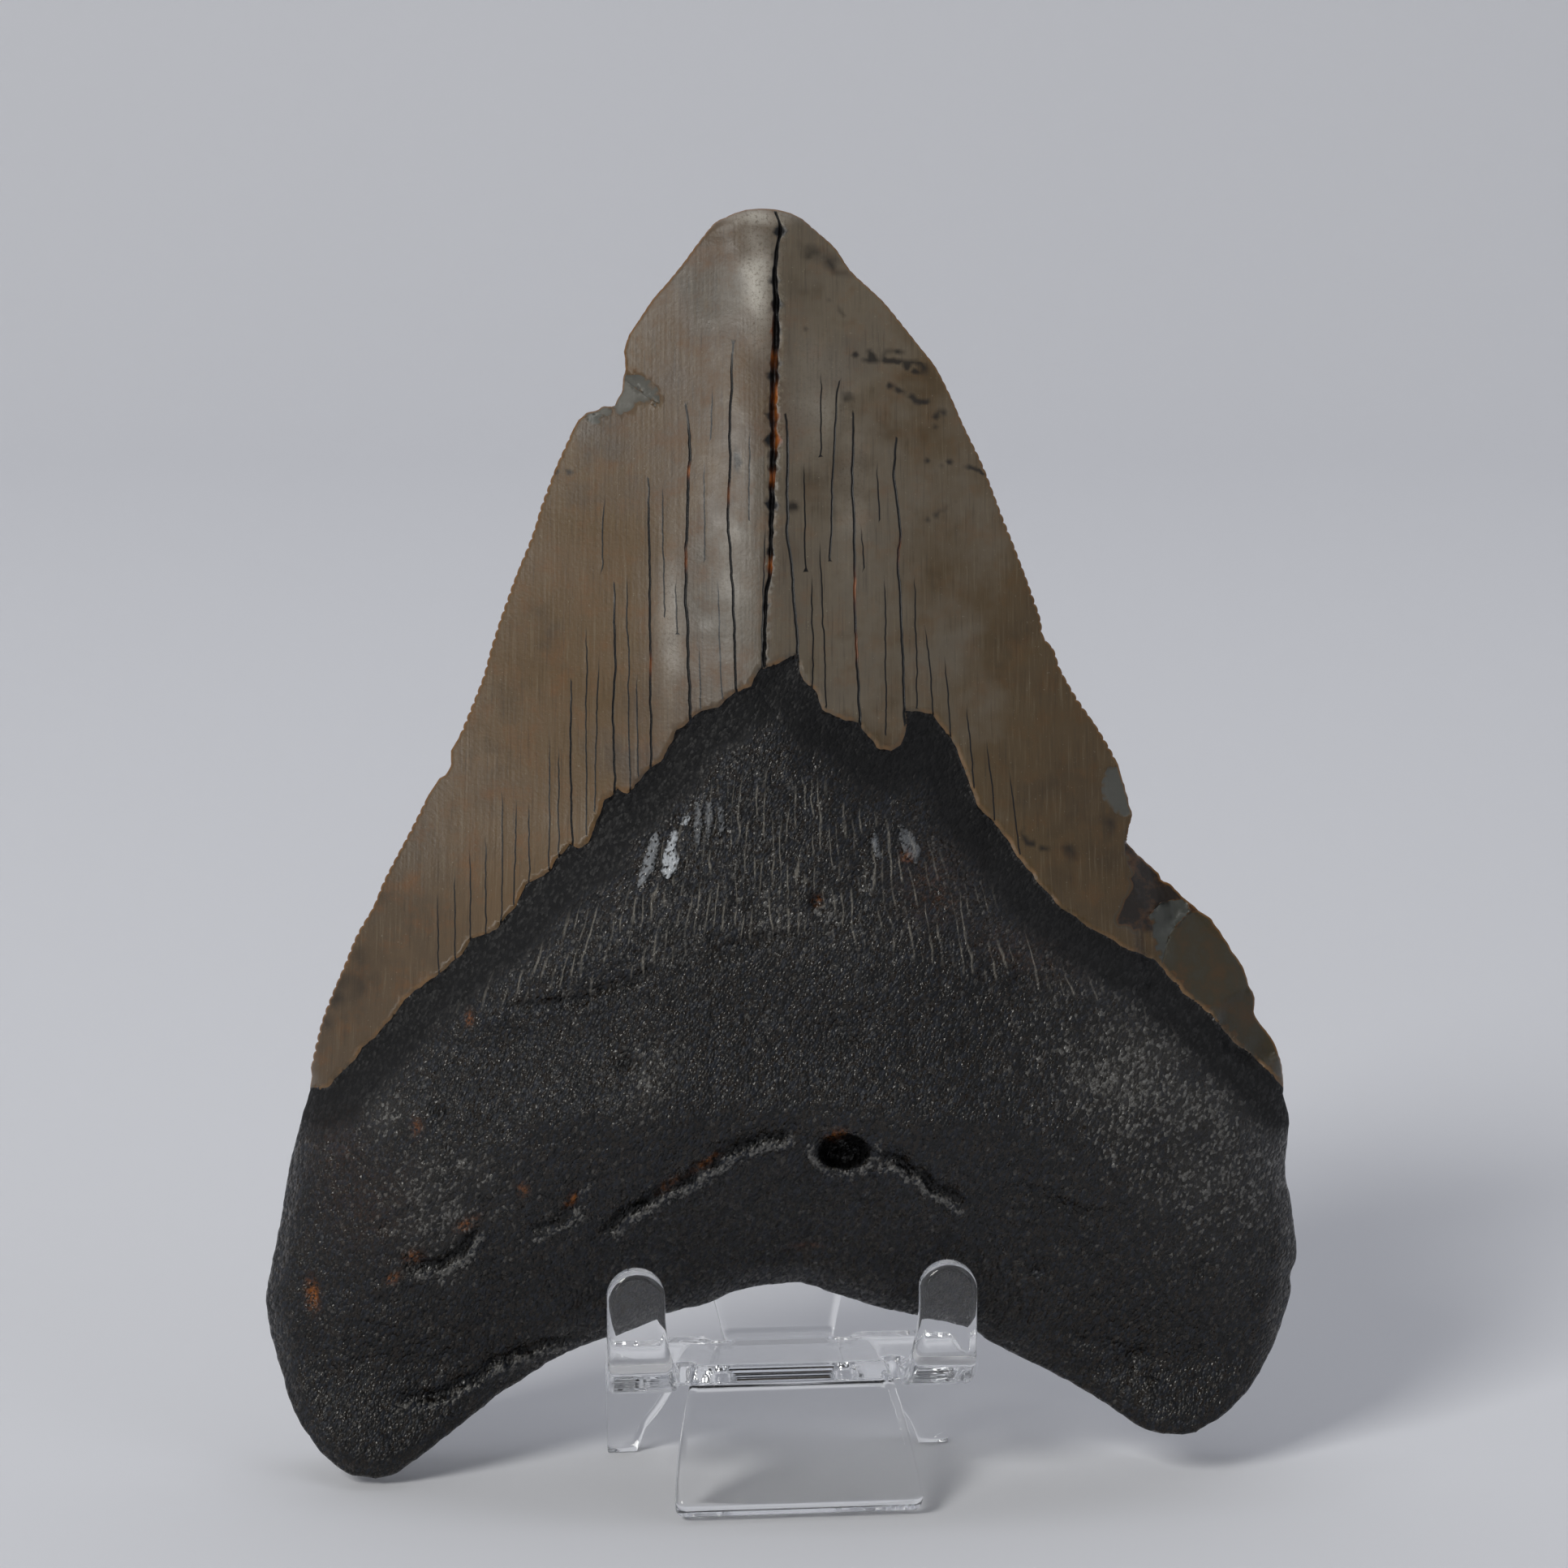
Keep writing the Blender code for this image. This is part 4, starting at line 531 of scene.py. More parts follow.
def brokenBorder(corners, step=0.3):
    # closed border through the corners, a little ragged
    corners = np.array(corners)[:, :2]
    border = resample(np.vstack([corners, corners[:1]]), step)
    return border + leftOf(border) * (0.3 * step * grain(border, 3.0 * step, 6.0))[:, None]


def within(p, border):
    inside = np.all((p > border.min(0)) & (p < border.max(0)), axis=1)
    inside[inside] = insideLoop(p[inside], border[:-1])
    return inside


def chipAway(p, relief, onFront):
    scar = np.zeros(len(p))
    tone = np.zeros(len(p))
    for facet in heelFacets:
        off = p - np.array(facet["at"])
        falls = np.array(facet["falls"]) / math.hypot(*facet["falls"])
        plane = np.maximum(facet["left"] - facet["slope"] * (off @ falls), breakage["facetFloor"])
        cut = (np.hypot(off[:, 0], off[:, 1]) < facet["reach"]) & (plane < relief)
        scar[cut & (p[:, 1] > breakage["bareAbove"])] = 1.0
        tone[cut] = 1.0
        relief = np.where(cut, plane, relief)
    if not onFront:
        return relief, scar, tone
    for chip in chips:
        corners = np.array(chip["corners"])
        inside = within(p, brokenBorder(corners))
        plane = np.linalg.lstsq(np.c_[corners[:, :2], np.ones(len(corners))], corners[:, 2], rcond=None)[0]
        depth = np.maximum(p @ plane[:2] + plane[2], breakage["leastDepth"])
        depth = depth + chip["rough"] * grain(p, 0.8, 2.0, octaves=2)
        relief = np.where(inside, np.maximum(relief - depth, breakage["chipFloor"]), relief)
        scar[inside] = 1.0
        tone[inside] = chip["tone"]
    return relief, scar, tone


def cutCracks(p, relief, step):
    # cuts the enamel's cracks into the relief; gives how dark each place is, and the main crack's pale lip, a
    # painted highlight where light catches its right wall
    s = p[:, 1]
    crack = np.zeros(len(p))
    patchy = grain(p, 1.5, 4.0)
    for kind, half, line in crackRuns:
        groove = crackGroove(p, wavyCrack(line), half)
        fade = ramp(line[0][1], line[0][1] - kind["fade"], s)
        shown = groove * (kind["least"] + kind["most"] * fade)
        crack = np.maximum(crack, shown * (1.0 + kind["uneven"] * patchy))
        relief -= kind["depth"] * unit(2.0 * groove - 1.0) * fade * step
    mainLine = wavyCrack(enamel["mainCrack"])
    gap, side, along = lineDistance(p, mainLine)
    wide = mainWidth(s) * (1.0 + 0.6 * grain(np.stack([along, s * 0.0], axis=1), 1.1, 9.0, octaves=2))
    dark = unit(1.9 - 1.9 * gap / (1.1 * wide + 0.04)) * step * (s > enamel["mainFoot"])
    relief -= enamel["mainDepth"] * np.clip(wide / 0.25, 0.2, 1.2) * unit(2.0 * dark - 1.0)
    crack = np.maximum(crack, dark)
    # painted highlight along the crack's right wall
    lip = np.exp(-((gap * side - wide * 1.1 - enamel["lipBack"]) / enamel["lipWidth"]) ** 2)
    lip = lip * step * ramp(*enamel["lipAbove"], s)
    return crack, enamel["lipHighlight"] * lip


def scratchMarks(p):
    # dark ragged marks across the enamel
    scratch = np.zeros(len(p))
    ragged = 1.0 + 0.9 * grain(p, 0.5, 7.0, octaves=2)
    for half, strength, line in enamel["scratches"]:
        gap = nearLine(p, roughLine(line, 0.3, 0.10), 1.0)[0]
        scratch = np.maximum(scratch, strength * unit(1.5 - gap / np.maximum(half * ragged, 0.07)))
    return scratch


def cutCreases(p, relief, ridge):
    # cuts the root's creases, foramen and pits; gives where it is hollow, which the colour paints with shade,
    # and adds its pale ridges
    x, s = p[:, 0], p[:, 1]
    hollow = np.zeros(len(p))
    dropped = root["ridgeDrop"] * (1.0 + 0.35 * grain(p, 2.0, 8.0))
    broken = np.clip(0.9 + 0.7 * grain(p, 1.4, 3.0, octaves=2), 0.2, 1.4)
    for strength, line in root["creases"]:
        crease = roughCrease(line)
        gap, side, along = nearLine(p, crease, 4.0)
        length = len(crease) * density["creaseStep"]
        ends = ramp(0.0, root["creaseTaper"], along) * ramp(0.0, root["creaseTaper"], length - along)
        groove = np.exp(-(gap / root["creaseWidth"]) ** 2) * strength * ends
        lift = np.exp(-((gap * side + dropped) / root["ridgeWidth"]) ** 2)
        lift = lift * (gap < 3.0) * ends * broken * ramp(0.3, 0.9, strength)
        relief += root["ridgeHeight"] * lift - root["creaseDepth"] * groove
        hollow = np.maximum(hollow, groove)
        ridge = np.maximum(ridge, lift)
    cx, cs = root["foramen"]
    hole = ((x - cx) / root["foramenHalf"][0]) ** 2 + ((s - cs) / root["foramenHalf"][1]) ** 2
    relief -= root["foramenDepth"] * ramp(0.0, 1.0, root["foramenRim"] - hole)
    hollow = np.maximum(hollow, ramp(1.35, 0.7, hole))
    rim = np.exp(-((np.sqrt(hole) - root["foramenRim"]) / 0.14) ** 2)
    ridge = np.maximum(ridge, 0.7 * rim * (s < cs + 0.8))
    pits = blobs(p, root["pits"])
    relief -= root["pitDepth"] * pits
    hollow = np.maximum(hollow, root["pitShade"] * pits)
    return hollow, ridge


def raiseWrinkles(p, relief, inRoot):
    # fine wrinkles that fan out under the band below the enamel
    x, s = p[:, 0], p[:, 1]
    top, foot = wrinkleTop(x), wrinkleFoot(x)
    wrinkled = ramp(0.0, 3.0, top - s + 2.0 * grain(p, 5.0, 9.0)) * ramp(-0.5, 0.3, s - foot) * inRoot
    fan = fanPlace(p)
    size = root["wrinkleSize"]
    waves = grain(fan, size, 3.0, (1.0, 6.0)) + 0.35 * grain(fan, 0.6 * size, 5.0, (1.0, 4.0))
    crest = ramp(0.35, 0.95, 1.0 - 2.6 * np.abs(waves)) * ramp(-0.30, 0.20, grain(fan, 2.0, 5.0, (1.0, 1.8)))
    folds = root["fanFolds"] * grain(fan, 2.6, 7.0, (1.0, 5.0))
    relief += (root["wrinkleHeight"] * crest + folds) * wrinkled
    return wrinkled, crest * wrinkled


def raiseScales(p, relief):
    # thin flakes that stand proud of the root and shine
    gloss = np.zeros(len(p))
    for shine, corners in root["scales"]:
        inside = within(p, brokenBorder(corners, 0.15))
        gloss[inside] = shine
        relief[inside] += root["scaleHeight"] * (1.0 + 0.5 * grain(p[inside], 0.9, 4.0))
    return gloss


def frontRelief(p, near):
    # height of the tongue-side face above the edge plane, and the masks that colour it
    x, s = p[:, 0], p[:, 1]
    body, rim = crossSection(p, near, tooth["frontFlank"])
    lobes = ramp(*tooth["lobesAcross"], np.abs(x)) * (1.0 - ramp(*tooth["lobesUp"], s))
    lobes = 1.0 - tooth["lobeThinning"] * lobes
    relief = rim + frontRidge(s) * lobes * body
    firm = ramp(*tooth["edgeFirm"], near)               # details fade out at the very edge
    onEnamel = aboveMargin(p, marginLine)
    below = -onEnamel
    inRoot = ramp(0.0, 2.0, below)
    step = ramp(-enamel["stepHalf"], enamel["stepHalf"], onEnamel)
    relief += enamel["thickness"] * (step - 1.0) * ramp(0.0, 0.6, near)
    wide = enamel["bourletteWidth"]
    relief -= enamel["bourletteDepth"] * ramp(0.2, 1.4, below) * (1.0 - ramp(wide - 2.0, wide, below)) * firm

    crack, ridge = cutCracks(p, relief, step)
    hollow, ridge = cutCreases(p, relief, ridge)
    wrinkled, crest = raiseWrinkles(p, relief, inRoot)
    gloss = raiseScales(p, relief)
    soft = inRoot * firm
    uneven = root["rolling"] * grain(p, 7.0, 3.0) + root["lumpy"] * grain(p, 2.4, 1.0, octaves=2)
    diagonal = np.stack([x + 0.45 * s, s], axis=1)
    relief += soft * (uneven + root["slanting"] * grain(diagonal, 1.0, 2.0, (0.7, 1.3)))
    relief += enamel["ripple"] * grain(p, 2.0, 7.0, (1.0, 9.0)) * step * firm * ramp(100.0, 85.0, s)
    relief, scar, tone = chipAway(p, relief, True)
    # on the front the pale patches are partly painted highlights, on the enamel and on the root
    pale = np.where(onEnamel > 0.0, blobs(p, enamel["pale"]), blobs(p, root["pale"]))
    pale = unit(pale * (1.0 + 0.9 * grain(p, 3.0, 2.0, octaves=2)))
    rust = np.maximum(blobs(p, root["rust"]) * inRoot, blobs(p, enamel["rust"]))
    rust = unit(rust * (1.0 + 0.8 * grain(p, 0.9, 1.0, octaves=2)))
    stain = unit(blobs(p, enamel["stains"]) * (1.0 + 1.2 * grain(p, 1.2, 5.0, octaves=2)))
    stain = np.maximum(stain, scratchMarks(p)) * (1.0 - scar)
    found = (crack, hollow, ridge, gloss, wrinkled, crest, scar, tone, pale, rust, stain, onEnamel)
    return relief, dict(zip(maskNames, found))


def backRelief(p, near):
    # height of the lip-side face behind the edge plane: flatter, its enamel reaches lower
    body, rim = crossSection(p, near, tooth["backFlank"])
    relief = rim + backRidge(p[:, 1]) * body
    onEnamel = aboveMargin(p, backMarginLine)
    step = ramp(-enamel["backStepHalf"], enamel["backStepHalf"], onEnamel)
    relief += enamel["thickness"] * (step - 1.0) * ramp(0.0, 0.8, near)
    firm = ramp(*tooth["edgeFirm"], near)
    uneven = root["backRolling"] * grain(p, 7.0, 13.0) + root["backLumpy"] * grain(p, 2.4, 11.0, octaves=2)
    relief += (1.0 - step) * firm * uneven
    folds = grain(p, 1.6, 17.0, (1.0, 7.0)) * ramp(0.0, 4.0, onEnamel) * (1.0 - ramp(6.0, 20.0, onEnamel))
    relief += enamel["backFolds"] * folds * firm
    relief, scar, tone = chipAway(p, relief, False)
    pale = unit(0.2 * grain(p, 9.0, 21.0, octaves=2))
    masks = dict.fromkeys(maskNames, np.zeros(len(p)))
    masks.update(scar=scar, tone=tone, pale=pale, toMargin=onEnamel)
    return relief, masks


def wavyCrack(line):
    crack = smoothLine(line, density["crackStep"])
    crack[:, 0] += grains(crack, enamel["crackWander"])
    return crack


def crackGroove(p, line, half):
    return unit(1.0 - nearLine(p, line, 1.0)[0] / half)


def roughCrease(line):
    crease = smoothLine(line, density["creaseStep"])
    return crease + leftOf(crease) * grains(crease, root["creaseWander"])[:, None]


def fanPlace(p):
    # place in the fan of wrinkles: across the fan at a usual radius, and outwards
    off = p - np.array(root["fanCentre"])
    out = np.hypot(off[:, 0], off[:, 1])
    return np.stack([np.arctan2(off[:, 0], -off[:, 1]) * root["fanReach"], out], axis=1)


def edgeRows():
    # rows of points set in from the outline, where the surface turns over fastest
    rows = []
    for gaps, inRootPart in ((density["bladeRows"], False), (density["rootRows"], True)):
        for gapIn in gaps:
            line = resample(closedOutline, 0.2 + 0.35 * gapIn)
            points = line + leftOf(line) * gapIn
            points = points[(points[:, 1] < density["bladeAbove"]) == inRootPart]
            points = points[insideLoop(points, outline)]
            rows.append(points[lineDistance(points, closedOutline)[0] > 0.8 * gapIn])
    return np.vstack(rows)


def guideLines():
    # lines that the front's triangles have to follow
    lines = [marginLine + leftOf(marginLine) * off for off in (-enamel["stepHalf"], enamel["stepHalf"])]
    for kind, half, line in crackRuns:
        crack = wavyCrack(line)
        shares = (-1.0, -0.5, 0.0, 0.5, 1.0) if kind is enamel["openCrack"] else (0.0, 1.0, -1.0)
        lines += [crack + (half * share, 0.0) for share in shares]
    crack = wavyCrack(enamel["mainCrack"])
    wide = mainWidth(crack[:, 1])
    for share, extra in ((-1.1, -0.04), (-0.75, -0.03), (-0.4, 0.0), (0.4, 0.0), (0.75, 0.03), (1.1, 0.04)):
        lines.append(crack + np.stack([wide * share + extra, np.zeros(len(wide))], axis=1))
    for strength, line in root["creases"]:
        crease = roughCrease(line)
        offs = (0.0, 0.45, -0.42, -0.85, -1.3) if strength > 0.4 else (0.0, -0.5)
        lines += [crease + (0.0, off) for off in offs]
    borders = [(brokenBorder(chip["corners"]), 0.08) for chip in chips]
    borders += [(brokenBorder(corners, 0.15), 0.06) for gloss, corners in root["scales"]]
    for border, inset in borders:
        lines += [border, border + leftOf(border) * inset]
    turn = np.linspace(0.0, 2.0 * math.pi, 40)
    for size in (0.35, 0.7, 0.9, 1.1, 1.3):
        lines.append(np.array(root["foramen"])
                     + np.stack([np.cos(turn), np.sin(turn)], axis=1) * root["foramenHalf"] * size)
    return lines


def filling(spacing, seed, sides=(-1, 0, 1)):
    # jittered hexagonal grid over the face, on the given sides of the band of wrinkles
    rng = np.random.default_rng(seed)
    low, high = outline.min(0), outline.max(0)
    columns = np.arange(low[0], high[0], spacing)
    rows = np.arange(low[1], high[1], spacing * 0.87)
    gridX = columns[None, :] + (np.arange(len(rows))[:, None] % 2) * spacing / 2
    gridS = np.repeat(rows[:, None], len(columns), axis=1)
    points = np.stack([gridX.ravel(), gridS.ravel()], axis=1)
    points += rng.uniform(-0.18, 0.18, points.shape) * spacing
    points = points[insideLoop(points, outline)]
    return points[np.isin(wrinkleSide(points), sides)]


def awayFrom(points, others, clear):
    return points[nearestGap(points, others) > clear]


def faceMesh(lines, points):
    coords = [Vector(p) for p in outline]
    edges = []
    onLines = np.vstack(lines)
    fromEdge = lineDistance(onLines, closedOutline)[0]
    allGood = insideLoop(onLines, outline) & (fromEdge > density["clearOfEdge"])
    for line, good in zip(lines, np.split(allGood, np.cumsum([len(line) for line in lines])[:-1])):
        last = None
        for p, ok in zip(line, good):
            if ok:
                coords.append(Vector(p))
                if last is not None:
                    edges.append((last, len(coords) - 1))
                last = len(coords) - 1
            else:
                last = None
    coords += [Vector(p) for p in points]
    made = delaunay_2d_cdt(coords, edges, [list(range(len(outline)))], 1, 1e-5)
    place = {}
    for index, sources in enumerate(made[3]):
        for source in sources:
            place[source] = index
    return np.array(made[0]), made[2], [place[k] for k in range(len(outline))]


def wrinkleSide(p):
    # 1 above the band of wrinkles, 0 in it, -1 below it
    x, s = p[:, 0], p[:, 1]
    return 1 * (s >= wrinkleTop(x) + 0.5) - (s <= wrinkleFoot(x) - 0.3)


def foldFilling():
    # rows of points that run with the wrinkles
    reach = root["fanReach"]
    across = np.arange(-root["fanHalf"], root["fanHalf"], density["foldAcross"])
    out = np.arange(*root["fanOut"], density["foldAlong"])
    a, r = np.meshgrid(across / reach, out, indexing="ij")
    r = r + (np.arange(len(across)) % 2)[:, None] * density["foldAlong"] / 2
    points = np.array(root["fanCentre"]) + np.stack([np.sin(a) * r, -np.cos(a) * r], axis=-1).reshape(-1, 2)
    points = points[wrinkleSide(points) == 0]
    return points[insideLoop(points, outline)]


lean = Matrix.Rotation(-tooth["lean"], 3, "X")
patternApart = 30.0                                     # mm in the patterns between the front and the back
rootBelow = -0.06                                       # a face further than this under the margin is root


def buildTooth():
    lines = guideLines()
    onLines = np.vstack(lines)
    rows = awayFrom(edgeRows(), onLines, density["clearOfLines"])
    fill = np.vstack([filling(density["crown"], 1, [1]), filling(density["root"], 2, [-1]), foldFilling()])
    fill = awayFrom(fill, np.vstack([onLines, rows, outline]), density["clearInFill"])
    behind = awayFrom(filling(density["back"], 4), np.vstack([rows, outline]), density["clearBehind"])
    up = leftOf(backMarginLine) * enamel["backStepHalf"]
    backLines = [backMarginLine - up, backMarginLine + up]

    bm = bmesh.new()
    layers = {name: bm.verts.layers.float.new(name) for name in maskNames + ("toEdge",)}
    flatLayer = bm.verts.layers.float_vector.new("flat")
    fanLayer = bm.verts.layers.float_vector.new("fan")
    rim = None
    for relief, sign, guides, points in ((frontRelief, -1.0, lines, np.vstack([rows, fill])),
                                         (backRelief, 1.0, backLines, np.vstack([rows, behind]))):
        flat, faces, order = faceMesh(guides, points)
        near = edgeGap(flat)
        near[order] = 0.0
        height, masks = relief(flat, near)
        height = np.where(near < 1e-6, 0.0, np.maximum(height, tooth["thinnest"]))
        depth = tooth["edgePlane"] * ramp(*tooth["curlHeights"], flat[:, 1]) + sign * height
        fan = fanPlace(flat)
        masks["toEdge"] = near
        atRim = set(order)
        made = []
        for k, ((x, s), n) in enumerate(zip(flat, depth)):
            if rim is not None and k in atRim:
                made.append(None)
                continue
            v = bm.verts.new((lean @ Vector((x, n, s))) * mm)
            for name, layer in layers.items():
                v[layer] = float(masks[name][k])
            v[flatLayer] = (x, s, patternApart * (1.0 + sign) / 2)
            v[fanLayer] = (*fan[k], 0.0)
            made.append(v)
        if rim is None:
            rim = [made[k] for k in order]
        else:
            for k, v in zip(order, rim):
                made[k] = v
        for face in faces:
            corners = [made[k] for k in (face if sign < 0 else reversed(face))]
            if len(set(corners)) < 3:
                continue
            done = bm.faces.new(corners)
            done.smooth = True
            done.material_index = 0 if masks["toMargin"][list(face)].mean() > rootBelow else 1
    bmesh.ops.recalc_face_normals(bm, faces=bm.faces)
    print("tooth mesh:", len(bm.verts), "vertices,", len(bm.faces), "triangles")
    return bm


# A pattern is given as its size in mm, its detail and its roughness. A name ending in At gives the two
# values of a pattern or mask between which something comes in, then how much of it there is at the
# second and at the first of them: all and none where that isn't said.
enamelLook = {
    # partly painted highlight: the lighter stops in the middle and just right of it carry the enamel's sheen
    # across the main crack
    "across": [(0.0, "#4f402e"), (0.12, "#5d4a33"), (0.26, "#5b482f"), (0.40, "#56483a"), (0.50, "#5c5347"),
               (0.60, "#665c4d"), (0.74, "#53432b"), (1.0, "#483822")],     # from left to right
    "warm": "#6d4317", "olive": "#33291b", "pale": "#766b56", "striae": "#201c15", "chalk": "#97917f",
    # the orange edge tint is painted light: the glow of light shining through the thin edges
    # worn is laid on the pale patches: the tip's worn facet, and partly painted highlight
    "worn": "#a8a297", "crack": "#050404", "rust": "#96521a", "stain": "#120e0a", "backlitEdge": "#80582a",
    "marginEdge": "#75593a",
    "scars": [(0.0, "#5a5851"), (0.25, "#3d3f3b"), (0.5, "#383121"), (0.75, "#523517"), (1.0, "#1c130b")],
    "mottle": (11.0, 4.0, 0.62), "blotch": (2.6, 5.0, 0.7), "speck": (0.3125, 2.0, 0.8),
    "striaStretch": (0.20, 5.0, 2.0), "striaNoise": (1.0, 3.0, 0.6),
    "fineGrain": (0.32, 1.0, 0.5), "drawnGrain": (5 / 3, 1.0, 0.5), "grainHeight": 0.020,
    "acrossAt": (-34.0, 34.0), "wanderAt": (0.3, 0.7, 9.0, -9.0), "warmthAt": (-30.0, 14.0, 0.22, 0.50),
    "warmAt": (0.50, 0.72), "oliveAt": (0.54, 0.72, 0.6), "striaeAt": (0.55, 0.75, 0.42),
    "paleAt": (0.44, 0.26, 0.40), "chalkAt": (0.66, 0.78, 0.5), "wearAndHighlightAt": (0.2, 0.5),
    "stainAt": (0.1, 0.7, 0.85), "lipHighlightAt": (0.40, 0.60), "marginAt": (0.32, 0.06), "marginPatchAt": (0.4, 0.6),
    "backlitAt": (0.22, 0.05, 0.75), "crackAt": (0.02, 0.25), "toneAt": (0.35, 0.65, 0.2, -0.2),
    "roughAt": (0.3, 0.7, 0.52, 0.36), "ior": 1.55, "specular": 0.32,
}

rootLook = {
    # pale and worn are partly painted light: pale grains standing in for glints, and a grey laid on the
    # highlight patches
    "black": "#050506", "brown": "#1a140e", "slate": "#171a21", "pale": "#6b6a67", "worn": "#35322d",
    "crest": "#69655d", "hollow": "#020202", "rust": "#9a5a20", "bourlette": "#040405", "scar": "#2d2a26",
    # flake is a pale colour made brighter by painted highlight: the scales' silvery shine
    "flake": "#a9adb1",
    "speck": (0.40, 3.0, 0.7), "grain": (1.0, 1.0, 0.4), "lumps": (1.6, 1.0, 0.5), "gaps": (1.25, 2.0, 0.5),
    # the real mineral grain is finer: these sizes are as coarse as it needs to show
    "grainLong": 0.36, "grainShort": 0.23, "grainTilt": 62.0, "grainHeight": 0.13, "crystalHeight": 0.13,
    "lumpHeight": 0.42, "streakGap": 0.75, "streakLong": 2.6, "streakWander": 5.0, "streakHeight": 0.35,
    "brownAt": (0.55, 0.75), "slateAt": (0.30, 0.10), "paleAt": (0.93, 1.10), "paleSpeckAt": (0.35, 0.65),
    "streakAt": (0.80, 1.0), "gapAt": (0.47, 0.60), "crestHighlightAt": (0.15, 0.55), "hollowShadeAt": (0.25, 0.8),
    "rustAt": (0.42, 0.58), "flakeAt": (0.33, 0.45), "bandFootAt": (-4.6, -3.0), "bandTopAt": (0.0, -0.4),
    "morePale": {"pale": 0.42, "crest": 0.10, "ridge": 0.95},       # how far a mask brings out the pale grains
    "bandColour": 0.92, "bandFlatter": -0.45, "bandDuller": 0.35, "scarColour": 0.7, "flakeGloss": -0.15,
    "roughAt": (0.45, 0.75, 0.25, 0.48), "ior": 1.5, "specular": 0.36,
}


thresholds = ("From Min", "From Max", "To Max", "To Min")     # the order of each look's values ending in At


def fossilEnamel():
    # aged enamel, worn to a satin shine: warm brown and olive, streaked, with dark cracks
    look = enamelLook
    material, tree = newMaterial("fossil_enamel_worn_satin")
    place = addNode(tree, "ShaderNodeAttribute", attribute_name="flat").outputs["Vector"]
    sideways = addNode(tree, "ShaderNodeSeparateXYZ", {"Vector": place})
    mark = {name: addNode(tree, "ShaderNodeAttribute", attribute_name=name).outputs["Fac"] for name in (
        "pale", "stain", "ridge", "tone", "scar", "toMargin", "toEdge", "rust", "crack")}
    # growth streaks are finer across than along
    stretch = tuple(1 / size for size in look["striaStretch"])
    drawn = addNode(tree, "ShaderNodeMapping", {"Vector": place, "Scale": stretch})
    noises = {}
    for name, at in (("mottle", place), ("blotch", place), ("speck", place), ("striaNoise", drawn),
                     ("drawnGrain", drawn), ("fineGrain", place)):
        size, detail, rough = look[name]
        noises[name] = addNode(tree, "ShaderNodeTexNoise", {
            "Vector": at, "Scale": 1 / size, "Detail": detail, "Roughness": rough})
    mottle, blotch, speck, striae = [noises[name] for name in ("mottle", "blotch", "speck", "striaNoise")]
    masks = {name: addNode(tree, "ShaderNodeMapRange", {"Value": value, **dict(zip(thresholds, look[name]))})
             for name, value in (
                 ("wanderAt", mottle), ("warmthAt", sideways), ("warmAt", blotch), ("oliveAt", mottle),
                 ("striaeAt", striae), ("paleAt", striae), ("chalkAt", speck), ("wearAndHighlightAt", speck),
                 ("stainAt", mark["stain"]), ("lipHighlightAt", speck), ("toneAt", blotch),
                 ("marginAt", mark["toMargin"]), ("marginPatchAt", blotch), ("backlitAt", mark["toEdge"]),
                 ("crackAt", mark["crack"]), ("roughAt", blotch))}
    # the colour's run across the tooth, its borders made wavy; its lighter middle, reaching just right of the
    # main crack, is painted highlight
    wavy = addNode(tree, "ShaderNodeMath", {0: sideways, 1: masks["wanderAt"]}, operation="ADD")
    across = addNode(tree, "ShaderNodeMapRange", {"Value": wavy, **dict(zip(thresholds, look["acrossAt"]))})
    colour = addNode(tree, "ShaderNodeValToRGB", {"Fac": across}, look["across"])
    # broken facets run from clean grey to weathered dark brown, and some cracks are filled with rust
    tone, rusty = [
        addNode(tree, "ShaderNodeMath", {0: mark[name], 1: 1.0}, operation="MULTIPLY", use_clamp=True)
        for name in ("tone", "rust")]
    tone = addNode(tree, "ShaderNodeMath", {0: masks["toneAt"], 1: tone, 2: tone}, operation="MULTIPLY_ADD")
    tints = {name: toLinear(tint) for name, tint in look.items() if isinstance(tint, str)}
    tints["scars"] = addNode(tree, "ShaderNodeValToRGB", {"Fac": tone}, look["scars"])
    tints["filled"] = addNode(tree, "ShaderNodeMixRGB", {
        "Fac": rusty, "Color1": tints["crack"], "Color2": tints["rust"]})
    # thin coats one over the other: the name of a tint, where it lies, and how much of it shows there
    for tint, where, amount in (
            ("warm", masks["warmAt"], masks["warmthAt"]), ("olive", masks["oliveAt"], 1.0),
            ("striae", masks["striaeAt"], 1.0), ("pale", masks["paleAt"], 1.0),
            ("chalk", masks["chalkAt"], 1.0),                        # chalky specks caught in the surface
            # the worn tint on the pale patches is partly painted highlight
            ("worn", mark["pale"], masks["wearAndHighlightAt"]), ("stain", masks["stainAt"], 1.0),
            # on the enamel, chalk on the ridge mask is the main crack's lip: a painted highlight
            ("chalk", mark["ridge"], masks["lipHighlightAt"]), ("scars", mark["scar"], 1.0),
            # the orange edge tint paints light glowing through the thin edges
            ("marginEdge", masks["marginAt"], masks["marginPatchAt"]), ("backlitEdge", masks["backlitAt"], 1.0),
            ("filled", masks["crackAt"], 1.0)):
        shown = addNode(tree, "ShaderNodeMath", {0: where, 1: amount}, operation="MULTIPLY", use_clamp=True)
        colour = addNode(tree, "ShaderNodeMixRGB", {"Fac": shown, "Color1": colour, "Color2": tints[tint]})

    grainy = addNode(tree, "ShaderNodeMath", {0: noises["drawnGrain"], 1: noises["fineGrain"]}, operation="ADD")
    bump = addNode(tree, "ShaderNodeBump", {"Height": grainy, "Distance": look["grainHeight"] * mm})
    shader = addNode(tree, "ShaderNodeBsdfPrincipled", {
        "Base Color": colour, "Roughness": masks["roughAt"], "IOR": look["ior"],
        "Specular IOR Level": look["specular"], "Normal": bump})
    addNode(tree, "ShaderNodeOutputMaterial", {"Surface": shader})
    return material


